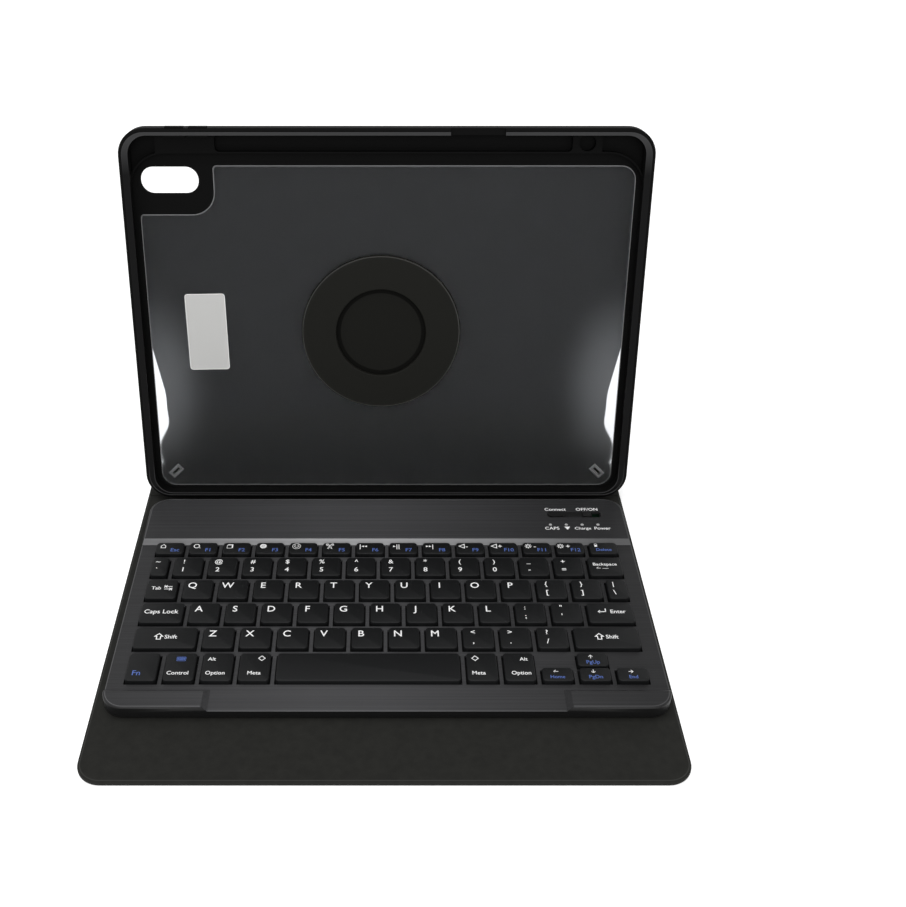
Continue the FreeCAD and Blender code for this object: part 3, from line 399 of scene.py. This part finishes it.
def add_keycap(mesh, low, high):
    """Add one cap that fills a box: rounded corners, then a softened top edge."""
    size = high - low
    middle = (low + high) / 2
    place = Matrix.Translation(middle) @ Matrix.Diagonal((*size, 1.0))
    made = bmesh.ops.create_cube(mesh, size=1.0, matrix=place)
    edges = {edge for vert in made["verts"] for edge in vert.link_edges}
    upright = [e for e in edges if abs(e.verts[0].co.z - e.verts[1].co.z) > size.z / 2]
    bevel_edges(mesh, upright, KEY_CORNER, CORNER_STEPS)
    reach = size / 2 + Vector((TOUCH, TOUCH, TOUCH))
    top = [
        edge
        for edge in mesh.edges
        if all(
            vert.co.z > high.z - TOUCH
            and abs(vert.co.x - middle.x) < reach.x
            and abs(vert.co.y - middle.y) < reach.y
            for vert in edge.verts
        )
    ]
    bevel_edges(mesh, top, KEY_EDGE, EDGE_STEPS)


def object_from(mesh, name, material):
    """Close a bmesh into an object at the origin, smooth except at sharp corners."""
    data = bpy.data.meshes.new(name)
    mesh.to_mesh(data)
    mesh.free()
    obj = bpy.data.objects.new(name, data)
    bpy.context.collection.objects.link(obj)
    data.materials.append(material)
    data.shade_smooth()
    data.set_sharp_from_angle(angle=SHARP_ANGLE)
    return obj


for name, boxes in boxes_of.items():
    caps = bmesh.new()
    for low, high in boxes:
        add_keycap(caps, low + KEY_INSET, high - KEY_INSET)
    cap = object_from(caps, name + "_caps", key_black)
    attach(cap, name)
    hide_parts(name)
print("keycap pieces:", len(boxes_of))

# %% [markdown]
# ## Printing on the keys
# The letters are printed in white, and the second functions in blue. A picture of the letters
# would blur up close, so Blender's own font makes their outlines. A word is turned into a mesh
# first, and only then moved to its key, so that its place ends up in its vertices.

# %% Turn words into flat meshes
PRINT_LIFT = 0.03 * MM
CAPITAL_SHARE = 0.69
BOLD = 0.012
LETTER_STEPS = 3


def add_word(mesh, text, middle, height):
    """Add a flat word, facing up, around a middle point; height is that of a capital letter."""
    curve = bpy.data.curves.new("word", "FONT")
    curve.body = text
    curve.size = height / CAPITAL_SHARE
    curve.align_x = "CENTER"
    curve.offset = BOLD * height
    curve.resolution_u = LETTER_STEPS
    holder = bpy.data.objects.new("word", curve)
    bpy.context.collection.objects.link(holder)
    bpy.context.view_layer.update()
    flat = bpy.data.meshes.new_from_object(holder)
    flat.transform(Matrix.Translation(middle - Vector((0, height / 2, 0))))
    mesh.from_mesh(flat)
    bpy.data.objects.remove(holder)
    bpy.data.curves.remove(curve)
    bpy.data.meshes.remove(flat)


print("print lies above the keys by", PRINT_LIFT)

# %% [markdown]
# ## What the keys say
# The marks are kept in tables, one row for each key from left to right, so that a word is quick to
# find and to move. A mark has its text, its middle as a share of the key's width and depth, and
# its height in millimetres. Keys with the same layout share a small function.

# %% Marks of the keys
def letter(text):
    return [(text, 0.31, 0.70, 3.8)]


def pair(upper, lower):
    return [(upper, 0.34, 0.77, 2.8), (lower, 0.34, 0.33, 3.0)]


SHIFT = [[("⇧", 0.39, 0.54, 3.6), ("Shift", 0.58, 0.54, 2.3)]]
SIGNS = ["⌂", "○", "❐", "◍", "☺", "✂", "|◂◂", "▸||", "▸▸|", "◁-", "◁+", "☼-", "☼+"]
WHITE = {
    "function_keys": [[(mark, 0.26, 0.66, 2.8)] for mark in SIGNS]
    + [[("∩", 0.25, 0.8, 1.7), ("■", 0.25, 0.7, 1.3)]],
    "digit_keys": [
        pair(upper, lower) for upper, lower in zip("~!@#$%^&*()_+", "`1234567890-=")
    ],
    "backspace_key": [
        [("Backspace", 0.5, 0.62, 2.0), ("←", 0.3, 0.4, 2.0), ("—", 0.5, 0.4, 2.0)]
    ],
    "tab_key": [[("Tab", 0.33, 0.55, 2.1), ("↹", 0.7, 0.55, 2.8)]],
    "upper_letter_keys": [letter(mark) for mark in "QWERTYUIOP"]
    + [pair("{", "["), pair("}", "]"), pair("|", "\\")],
    "caps_lock_key": [[("Caps Lock", 0.48, 0.56, 2.6)]],
    "home_letter_keys": [letter(mark) for mark in "ASDFGHJKL"]
    + [pair(":", ";"), pair('"', "'")],
    "enter_key": [[("↵", 0.32, 0.56, 3.4), ("Enter", 0.66, 0.56, 2.3)]],
    "left_shift_key": SHIFT,
    "lower_letter_keys": [letter(mark) for mark in "ZXCVBNM"]
    + [pair("<", ","), pair(">", "."), pair("?", "/")],
    "right_shift_key": SHIFT,
    "left_modifier_keys": [
        [("Control", 0.46, 0.28, 2.1)],
        [("Alt", 0.3, 0.78, 2.0), ("Option", 0.46, 0.28, 2.1)],
        [("◇", 0.7, 0.8, 2.4), ("Meta", 0.5, 0.28, 2.1)],
    ],
    "right_modifier_keys": [
        [("◇", 0.3, 0.8, 2.4), ("Meta", 0.38, 0.28, 2.1)],
        [("Alt", 0.66, 0.78, 2.0), ("Option", 0.54, 0.28, 2.1)],
    ],
    "left_arrow_key": [[("←", 0.45, 0.7, 2.0)]],
    "up_arrow_key": [[("↑", 0.45, 0.7, 2.0)]],
    "down_arrow_key": [[("↓", 0.45, 0.7, 2.0)]],
    "right_arrow_key": [[("→", 0.45, 0.7, 2.0)]],
}
LENS_HANDLE = ("\\", 0.37, 0.55, 1.4)
WHITE["function_keys"][SIGNS.index("○")].append(LENS_HANDLE)
SECOND_WORDS = ["Esc"] + [f"F{number}" for number in range(1, 13)]
BLUE = {
    "function_keys": [[(word, 0.68, 0.34, 2.4)] for word in SECOND_WORDS]
    + [[("Delete", 0.5, 0.36, 2.0)]],
    "fn_key": [[("Fn", 0.34, 0.28, 2.9)]],
    "left_modifier_keys": [[("⌨", 0.5, 0.78, 2.6)], [], []],
    "left_arrow_key": [[("Home", 0.48, 0.3, 1.8)]],
    "up_arrow_key": [[("PgUp", 0.5, 0.3, 2.0)]],
    "down_arrow_key": [[("PgDn", 0.5, 0.3, 2.0)]],
    "right_arrow_key": [[("End", 0.5, 0.3, 1.9)]],
}
print("marked key nodes:", len(WHITE), "white and", len(BLUE), "blue")

# %% [markdown]
# ## Laying the print
# The print moves down with its key. A loose object for each letter would be hard to keep in order,
# so all the words of one colour on a node become one piece that rides on that node.

# %% Print the keys
def print_keys(name, marks_by_key, material, suffix):
    """One piece of print for all keys of a node."""
    words = bmesh.new()
    for (low, high), marks in zip(boxes_of[name], marks_by_key):
        for text, across, back, height in marks:
            x = low.x + (high.x - low.x) * across
            y = low.y + (high.y - low.y) * back
            add_word(words, text, Vector((x, y, high.z + PRINT_LIFT)), height * MM)
    obj = object_from(words, name + suffix, material)
    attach(obj, name)


for name, marks_by_key in WHITE.items():
    print_keys(name, marks_by_key, white_print, "_white_print")
for name, marks_by_key in BLUE.items():
    print_keys(name, marks_by_key, blue_print, "_blue_print")
print("printed key pieces:", len(WHITE) + len(BLUE))

# %% [markdown]
# ## Words on the rear deck
# Small white words name the connect button, the switch and the indicator lights.
# They are placed from the lights and the button, so they stay beside them.

# %% Print the deck
CONTROL_WORDS_BACK = 4.4 * MM
LIGHT_WORDS_AHEAD = 3.0 * MM
deck_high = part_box("keyboard_top_plate")[1]
button_low, button_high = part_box("connect_button")
light_middles = [(low + high) / 2 for low, high in island_boxes("light_pipes")]
light_step = light_middles[1] - light_middles[0]
control_y = (button_low.y + button_high.y) / 2 + CONTROL_WORDS_BACK
light_y = light_middles[0].y - LIGHT_WORDS_AHEAD
DECK_WORDS = [
    ("Connect", light_middles[0].x + 0.47 * light_step.x, control_y, 2.2),
    ("OFF/ON", light_middles[2].x + 0.5 * light_step.x, control_y, 2.2),
    ("CAPS", light_middles[0].x + 0.07 * light_step.x, light_y, 2.2),
    ("▼", light_middles[1].x + 0.03 * light_step.x, light_y, 2.2),
    ("Charge", light_middles[2].x, light_y, 2.0),
    ("Power", light_middles[3].x + 0.22 * light_step.x, light_y, 2.2),
]
deck_words = bmesh.new()
for text, x, y, height in DECK_WORDS:
    add_word(deck_words, text, Vector((x, y, deck_high.z + PRINT_LIFT)), height * MM)
deck_print = object_from(deck_words, "deck_white_print", white_print)
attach(deck_print, "base")
print("deck words:", len(DECK_WORDS))

# %% [markdown]
# ## Painted edge highlights
# Cut and moulded edges catch the light, and that light is painted on as fine pale lines: painted
# highlights. Each line is a narrow band: the faces of a solid that look one way are copied as a
# skin, the skin is inset along its outline, and only the band between the old and the new outline
# is kept.
# A skin that isn't inset covers a whole face, such as the dark floor of the switch channel.

# %% Skins and their outlines
SKIN_LIFT = 0.03 * MM
FLAT_MATCH = 0.999
tray_up = -Vector(joints["volume_up_press"]["axis"])
tray_front = Vector((0, -tray_up.z, tray_up.y))


def keep_faces(skin, test):
    others = [face for face in skin.faces if not test(face)]
    bmesh.ops.delete(skin, geom=others, context="FACES")


def skin_where(node_name, test):
    """A copy of those faces of a solid that pass a test, lifted a little off the solid."""
    skin = bmesh.new()
    skin.from_mesh(nodes[node_name].data)
    bmesh.ops.remove_doubles(skin, verts=skin.verts, dist=TOUCH)
    skin.normal_update()
    keep_faces(skin, test)
    skin.normal_update()
    for vert in skin.verts:
        vert.co += vert.normal * SKIN_LIFT
    return skin


def skin_of(node_name, facing):
    """The skin of a solid on its flat faces that look one way."""
    return skin_where(node_name, lambda face: face.normal.dot(facing) > FLAT_MATCH)


def edge_of(node_name, facing, width):
    """A narrow band along the outline of a solid's flat faces that look one way."""
    line = skin_of(node_name, facing)
    made = bmesh.ops.inset_region(
        line, faces=line.faces[:], thickness=width, use_boundary=True, use_even_offset=True
    )
    band = set(made["faces"])
    keep_faces(line, lambda face: face in band)
    return line


def place_skin(skin, name, material, body):
    obj = object_from(skin, name, material)
    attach(obj, body)


print("tray leans back by", round(math.degrees(tray_up.angle(UP)), 1), "degrees")

# %% [markdown]
# ## Edges on the tray
# The clear sheet, the ring and the bare plate are cut or turned, and their edges get painted
# highlights. The disc in the middle lies deep, so its rim gets a painted shade instead, and the
# board behind the sheet has a dark lining. Only the outer edge of the ring gets a painted
# highlight: the inner one is picked out by its distance.

# %% Draw the painted highlights and shade on the tray's edges
PANEL_LINE = 0.35 * MM
RING_LINE = 0.3 * MM
RING_OUTER_SHARE = 0.8
STEEL_LINE = 0.45 * MM
DISC_RIM_SHADE = 2.2 * MM
clear_edge_highlight = moulded("clear edge", (0.2, 0.2, 0.205), 0.3, 900, 1e-6, 0.5)
ring_edge_highlight = moulded("ring edge", (0.035, 0.035, 0.032), 0.4, 900, 1e-6, 0.4)
panel_line = edge_of("clear_panel", tray_front, PANEL_LINE)
place_skin(panel_line, "clear_panel_edge_line", clear_edge_highlight, "tray")
ring_low, ring_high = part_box("swivel_ring")
ring_middle = (ring_low + ring_high) / 2
ring_outer = RING_OUTER_SHARE * (ring_high.x - ring_low.x) / 2
ring_line = edge_of("swivel_ring", tray_front, RING_LINE)
keep_faces(ring_line, lambda face: (face.calc_center_median() - ring_middle).length > ring_outer)
place_skin(ring_line, "swivel_ring_edge_line", ring_edge_highlight, "tray")
panel_lining = skin_of("back_panel", tray_front)
place_skin(panel_lining, "back_panel_lining", lining, "tray")
steel_line = edge_of("bare_plate", tray_front, STEEL_LINE)
place_skin(steel_line, "bare_plate_edge_line", steel_edge_highlight, "tray")
disc_rim_shade = edge_of("hub_cap", tray_front, DISC_RIM_SHADE)
place_skin(disc_rim_shade, "hub_cap_edge_shade", disc_shade, "tray")
print("light edges of the tray made")

# %% [markdown]
# ## The lip of the tray
# A soft lip runs around the tray and holds the tablet. It gets a painted highlight along the top,
# where it faces the light, and along its fine outline at the top and the foot. One skin for each
# part would end in a hard cut at the corners, so both skins run on down the sides and their painted
# light fades with the height.

# %% Draw the painted highlight band of the lip
LIP_LEVEL = 0.2 * MM
LIP_TOP = 4 * MM
LIP_FADE = 20 * MM
LIP_FOOT = 5 * MM
LIP_SHARES = (0.2, 1.0)


def keep_foremost(skin):
    """Keep only the faces of the tray that lie farthest to the front."""
    foremost = max(vert.co.dot(tray_front) for vert in skin.verts)
    keep_faces(
        skin, lambda face: face.calc_center_median().dot(tray_front) > foremost - LIP_LEVEL
    )


lip_band = skin_of("tray_frame", tray_front)
keep_foremost(lip_band)
lip_heights = [vert.co.dot(tray_up) for vert in lip_band.verts]
lip_low = min(lip_heights)
lip_high = max(lip_heights)
lip_tall = lip_high - lip_low
lip_middle = (lip_low + lip_high) / 2
top_reach = (lip_tall - LIP_FADE, lip_tall - LIP_TOP)
end_reach = (lip_tall / 2 - LIP_FADE, lip_tall / 2 - LIP_TOP)
# Both painted highlights fade with the height: the band is palest at the top, the line at the top
# and the foot.
fade_along(lip_top_highlight, tray_up, lip_low, top_reach, LIP_SHARES)
fade_along(lip_edge_highlight, tray_up, lip_middle, end_reach, LIP_SHARES)
bmesh.ops.bisect_plane(
    lip_band,
    geom=lip_band.verts[:] + lip_band.edges[:] + lip_band.faces[:],
    plane_co=tray_up * (lip_low + LIP_FOOT),
    plane_no=tray_up,
    clear_inner=True,
)
place_skin(lip_band, "tray_lip_band", lip_top_highlight, "tray")
print("lip height:", round(lip_tall, 4))

# %% Draw the painted highlight line along the lip
LIP_LINE = 0.4 * MM
lip_line = edge_of("tray_frame", tray_front, LIP_LINE)
keep_foremost(lip_line)
bmesh.ops.translate(lip_line, verts=lip_line.verts, vec=tray_front * SKIN_LIFT)
place_skin(lip_line, "tray_lip_line", lip_edge_highlight, "tray")
print("line along the lip made")

# %% [markdown]
# ## Painted glow in the clear sheet
# Where the cover behind is drawn in, light enters the clear sheet from the back and spreads in it.
# That glow is painted in: the sheet lets a little less through there and scatters the rest in its
# pale colour, and the amount falls with the distance from a spot on each side. Elsewhere the sheet
# is only a little hazy. Taking |x| gives both spots at once, and stretching x before the distance
# is measured makes the glow narrower than it is tall.

# %% Find the spot of the painted glow
PAINTED_GLOW_SQUEEZE = 1.7
PAINTED_GLOW_ABOVE_FOLD = 18 * MM
PAINTED_GLOW_BEFORE_FOLD = 12 * MM
back_fold = Vector(joints["back_fold"]["pos_m"])
painted_glow_spot = back_fold + tray_up * PAINTED_GLOW_ABOVE_FOLD + tray_front * PAINTED_GLOW_BEFORE_FOLD
painted_glow_spot.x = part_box("clear_panel")[1].x * PAINTED_GLOW_SQUEEZE
print("haze spot:", [round(value, 3) for value in painted_glow_spot])

# %% Paint the glow into the sheet around the spot
# The least share is the sheet's even haze everywhere; the most, at the spot, is painted glow.
HAZE_LEAST = 0.0068
PAINTED_GLOW_MOST = 0.085
PAINTED_GLOW_REACH = 58 * MM
haze_and_glow_tree = clear_sheet.node_tree
haze_and_glow_place = node_of(clear_sheet, "TEX_COORD")
split = haze_and_glow_tree.nodes.new("ShaderNodeSeparateXYZ")
sideways = math_node(haze_and_glow_tree, "ABSOLUTE")
squeezed = math_node(haze_and_glow_tree, "MULTIPLY")
squeezed.inputs[1].default_value = PAINTED_GLOW_SQUEEZE
together = haze_and_glow_tree.nodes.new("ShaderNodeCombineXYZ")
far_from = haze_and_glow_tree.nodes.new("ShaderNodeVectorMath")
far_from.operation = "DISTANCE"
far_from.inputs[1].default_value = painted_glow_spot
clearness = haze_and_glow_tree.nodes.new("ShaderNodeMapRange")
clearness.interpolation_type = "SMOOTHSTEP"
clearness.inputs["From Max"].default_value = PAINTED_GLOW_REACH
clearness.inputs["To Min"].default_value = 1.0 - PAINTED_GLOW_MOST
clearness.inputs["To Max"].default_value = 1.0 - HAZE_LEAST
haze_and_glow_links = haze_and_glow_tree.links
haze_and_glow_links.new(haze_and_glow_place.outputs["Object"], split.inputs["Vector"])
haze_and_glow_links.new(split.outputs["X"], sideways.inputs[0])
haze_and_glow_links.new(sideways.outputs["Value"], squeezed.inputs[0])
haze_and_glow_links.new(squeezed.outputs["Value"], together.inputs["X"])
haze_and_glow_links.new(split.outputs["Y"], together.inputs["Y"])
haze_and_glow_links.new(split.outputs["Z"], together.inputs["Z"])
haze_and_glow_links.new(together.outputs["Vector"], far_from.inputs[0])
haze_and_glow_links.new(far_from.outputs["Value"], clearness.inputs["Value"])
haze_and_glow_links.new(clearness.outputs["Result"], clear_shader.inputs["Transmission Weight"])
print("haze reaches", PAINTED_GLOW_REACH)

# %% [markdown]
# ## Edges on the keyboard and the base cover
# The base cover's cut edge gets a painted highlight. The keyboard's plate gets a painted highlight
# along its outline, dark walls below it and a painted highlight on the slope before the rear deck.
# Each is a skin again. The plate also has edges around every key, so a small test keeps only the
# faces near the plate's own outline.

# %% Draw the edges of the base cover and the keyboard
COVER_LINE = 0.5 * MM
PLATE_LINE = 0.4 * MM
PLATE_CORNER = 10 * MM
PLATE_BORDER = 1.5 * MM
WALL_TILT = 0.85
cover_line = edge_of("base_cover", UP, COVER_LINE)
place_skin(cover_line, "base_cover_edge_line", cover_edge_highlight, "base")
plate_low, plate_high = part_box("keyboard_top_plate")
plate_middle = (plate_low + plate_high) / 2
plate_reach = (plate_high - plate_low) / 2 - Vector((PLATE_CORNER, PLATE_CORNER, 0))


def on_border(face):
    """Whether a face lies close to the outer outline of the plate, with its rounded corners."""
    spot = face.calc_center_median() - plate_middle
    beyond_x = max(abs(spot.x) - plate_reach.x, 0)
    beyond_y = max(abs(spot.y) - plate_reach.y, 0)
    return PLATE_CORNER - math.hypot(beyond_x, beyond_y) < PLATE_BORDER


def on_wall(face):
    return face.normal.z < WALL_TILT and on_border(face)


plate_line = edge_of("keyboard_top_plate", UP, PLATE_LINE)
keep_faces(plate_line, on_border)
place_skin(plate_line, "keyboard_plate_edge_line", plate_edge_highlight, "base")
plate_walls = skin_where("keyboard_top_plate", on_wall)
place_skin(plate_walls, "keyboard_plate_walls", case_black, "base")
print("edges of the base cover and the keyboard made")

# %% [markdown]
# ## Slope and switch channel
# Before the rear deck the plate slopes down to the keys, and that narrow slope gets a painted
# highlight for the light it mirrors.
# The switch slides in a shallow channel with a black floor. Both are found on the plate itself:
# the slope by the way its faces lean, the floor by its depth.

# %% Cover the slope and the channel's floor
SLOPE_TILT = 0.3
CHANNEL_DEPTH = 0.5 * MM
channel_level = plate_high.z - CHANNEL_DEPTH


def on_slope(face):
    leans = face.normal.y < -SLOPE_TILT and face.normal.z > SLOPE_TILT
    return leans and not on_border(face)


def on_channel(face):
    return abs(face.calc_center_median().z - channel_level) < CHANNEL_DEPTH / 4


deck_slope = skin_where("keyboard_top_plate", on_slope)
place_skin(deck_slope, "deck_front_slope", slope_highlight, "base")
channel = skin_of("keyboard_top_plate", UP)
keep_faces(channel, on_channel)
place_skin(channel, "switch_channel_floor", case_black, "base")
print("slope and channel floor covered")

# %% [markdown]
# ## Leatherette folds
# Strips of the same leatherette join the boards along the three folds. A strip is a thin band
# that lies half on one board and half on the next, and bends between the two at the fold.
# Its path is drawn as a few points in the case's side view and extruded across the width.

# %% Shape a strip
STRIP_REACH = 6 * MM
STRIP_THICK = 0.2 * MM
STRIP_MARGIN = 1.0 * MM
STRIP_STEPS = (1.0, 0.6, 0.25, 0.1)


def strip_path(fold, first, second):
    """Points along a strip that runs along one board to the fold and on along the next."""
    before = [fold + first * STRIP_REACH * step for step in STRIP_STEPS]
    after = [fold + second * STRIP_REACH * step for step in reversed(STRIP_STEPS)]
    return before + [fold] + after


def span_at(board, fold):
    """Where a board starts and ends across the case, close to a fold."""
    place = nodes[board].matrix_world
    corners = [place @ vert.co for vert in nodes[board].data.vertices]
    across = [corner.x for corner in corners if (corner - fold).yz.length < STRIP_REACH]
    return min(across), max(across)


def fold_strip(name, joint, first, second, side, rests_on):
    """A leatherette band across one fold; side points from the boards to the band's face."""
    fold = Vector(joints[joint]["pos_m"])
    spans = [span_at(board, fold) for board in rests_on]
    left = max(span[0] for span in spans) + STRIP_MARGIN
    right = min(span[1] for span in spans) - STRIP_MARGIN
    path = strip_path(fold, first, second)
    band = bmesh.new()
    verts = [band.verts.new((left, p.y, p.z)) for p in path]
    edges = [band.edges.new(ends) for ends in zip(verts, verts[1:])]
    drawn = bmesh.ops.extrude_edge_only(band, edges=edges)
    far = [item for item in drawn["geom"] if isinstance(item, bmesh.types.BMVert)]
    across = Vector((right - left, 0, 0))
    bmesh.ops.translate(band, verts=far, vec=across)
    bmesh.ops.recalc_face_normals(band, faces=band.faces)
    if sum(face.normal.dot(side) for face in band.faces) < 0:
        bmesh.ops.reverse_faces(band, faces=band.faces)
    bmesh.ops.translate(band, verts=band.verts, vec=side * STRIP_THICK)
    bmesh.ops.solidify(band, geom=band.faces[:], thickness=STRIP_THICK)
    strip = object_from(band, name, leatherette)
    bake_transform(strip)


print("a strip reaches along each board by", STRIP_REACH)

# %% [markdown]
# ## Strips on the three folds
# The spine lies flat behind the base, the prop rises from the spine, and the back panel leans on
# the prop. A strip needs the direction of the board on either side of its fold. The prop's own
# comes from its two folds: the line between them runs from one face of the board to the other,
# so it is turned by a small angle to run along the board.

# %% Lay the strips
prop_fold = Vector(joints["prop_fold"]["pos_m"])
along_y = Vector((0, 1, 0))
prop_chord = back_fold - prop_fold
board_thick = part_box("spine_board")[1].z
slant = math.asin(board_thick / prop_chord.length)
prop_up = (Matrix.Rotation(slant, 3, "X") @ prop_chord).normalized()
prop_out = Vector((0, prop_up.z, -prop_up.y))
fold_strip(
    "spine_fold_strip",
    "spine_fold",
    -along_y,
    along_y,
    UP,
    ["base_cover", "spine_board"],
)
fold_strip(
    "prop_fold_strip",
    "prop_fold",
    -along_y,
    prop_up,
    (UP - prop_out).normalized(),
    ["spine_board", "prop_board"],
)
fold_strip(
    "back_fold_strip",
    "back_fold",
    -prop_up,
    tray_up,
    prop_out,
    ["prop_board", "back_panel"],
)
print("fold strips made")

# %% [markdown]
# ## Floor
# The case stands on a white table in a white room. Brighter lamps could whiten the room, but they
# would turn the blacks grey. So the floor and the world only look white to the camera, in
# reflections and through the clear sheet, and shed less light than they show.

# %% Floor
FLOOR_SIZE = 6.0
FLOOR_GLOW = 0.5


def seen_strength(tree, unseen, seen):
    """One strength for rays that show the surroundings, another for the light they shed."""
    path = tree.nodes.new("ShaderNodeLightPath")
    direct = math_node(tree, "MAXIMUM")
    shown = math_node(tree, "MAXIMUM")
    level = tree.nodes.new("ShaderNodeMapRange")
    level.inputs["To Min"].default_value = unseen
    level.inputs["To Max"].default_value = seen
    tree.links.new(path.outputs["Is Camera Ray"], direct.inputs[0])
    tree.links.new(path.outputs["Is Glossy Ray"], direct.inputs[1])
    tree.links.new(direct.outputs["Value"], shown.inputs[0])
    tree.links.new(path.outputs["Is Transmission Ray"], shown.inputs[1])
    tree.links.new(shown.outputs["Value"], level.inputs["Value"])
    return level.outputs["Result"]


floor_mesh = bmesh.new()
bmesh.ops.create_grid(floor_mesh, x_segments=1, y_segments=1, size=FLOOR_SIZE / 2)
floor_white = finish_with_grain("floor white", (0.9, 0.9, 0.9), 0.9, even(30), 1e-6)
floor_tree = floor_white.node_tree
glow = floor_tree.nodes.new("ShaderNodeEmission")
glow.inputs["Color"].default_value = (1.0, 1.0, 1.0, 1.0)
floor_shader = floor_tree.nodes["Principled BSDF"]
floor_output = floor_tree.nodes["Material Output"]
join = floor_tree.nodes.new("ShaderNodeAddShader")
floor_tree.links.new(seen_strength(floor_tree, 0.0, FLOOR_GLOW), glow.inputs["Strength"])
floor_tree.links.new(floor_shader.outputs["BSDF"], join.inputs[0])
floor_tree.links.new(glow.outputs["Emission"], join.inputs[1])
floor_tree.links.new(join.outputs["Shader"], floor_output.inputs["Surface"])
floor = object_from(floor_mesh, "floor", floor_white)
print("floor side:", FLOOR_SIZE)

# %% [markdown]
# ## The room
# The world's background stands for the white room around the table. A picture of a real room would
# put its colours into every reflection. Plain white does not, and it has two strengths as well.

# %% World
WORLD_LIGHT = 0.5
world = bpy.data.worlds.new("studio")
bpy.context.scene.world = world
world.use_nodes = True
sky = world.node_tree
back_light = sky.nodes["Background"]
back_light.inputs["Color"].default_value = (1.0, 1.0, 1.0, 1.0)
sky.links.new(seen_strength(sky, WORLD_LIGHT, 1.0), back_light.inputs["Strength"])
print("world light:", WORLD_LIGHT)

# %% [markdown]
# ## Lamps
# Two broad square lamps give soft studio light. The one overhead, a little to the left, lights the
# keyboard and the lip; the one in front fills the tray. Small lamps would draw hard shadows
# between the keys.

# %% Lamps
def soft_lamp(name, place, aim, size, power):
    """A square lamp that looks at a point."""
    lamp = bpy.data.lights.new(name, "AREA")
    lamp.shape = "SQUARE"
    lamp.size = size
    lamp.energy = power
    obj = bpy.data.objects.new(name, lamp)
    obj.location = place
    obj.rotation_euler = (Vector(aim) - Vector(place)).to_track_quat("-Z", "Y").to_euler()
    bpy.context.collection.objects.link(obj)


soft_lamp("overhead", (-0.2, 0.0, 1.3), (0, 0, 0), 0.9, 7.0)
soft_lamp("front fill", (0.05, -1.2, 0.75), (0, 0, 0.05), 0.8, 7.0)
print("lamps set")

# %% [markdown]
# ## Camera
# The camera stands in front and looks down on the keyboard. The case stands left of the middle of
# the picture. Turning the camera would tilt its upright lines, so the lens is shifted instead.

# %% Camera
LENS = 47.04
SENSOR = 36.0
CAMERA_PLACE = (0.06 * MM, -416.92 * MM, 390.81 * MM)
CAMERA_DOWN = 35.24
CAMERA_SHIFT = 0.0756
camera_data = bpy.data.cameras.new("camera")
camera_data.sensor_width = SENSOR
camera_data.lens = LENS
camera_data.shift_x = CAMERA_SHIFT
camera = bpy.data.objects.new("camera", camera_data)
camera.location = CAMERA_PLACE
camera.rotation_euler = (math.radians(90 - CAMERA_DOWN), 0, 0)
bpy.context.collection.objects.link(camera)
bpy.context.scene.camera = camera
print("camera set")

# %% [markdown]
# ## Check the size
# Dressing the case mustn't make it grow. The box around the bare solids was measured at the start;
# it is written down beside the box around the finished case, so that the two can be compared.

# %% Keep both boxes and finish
print("done")
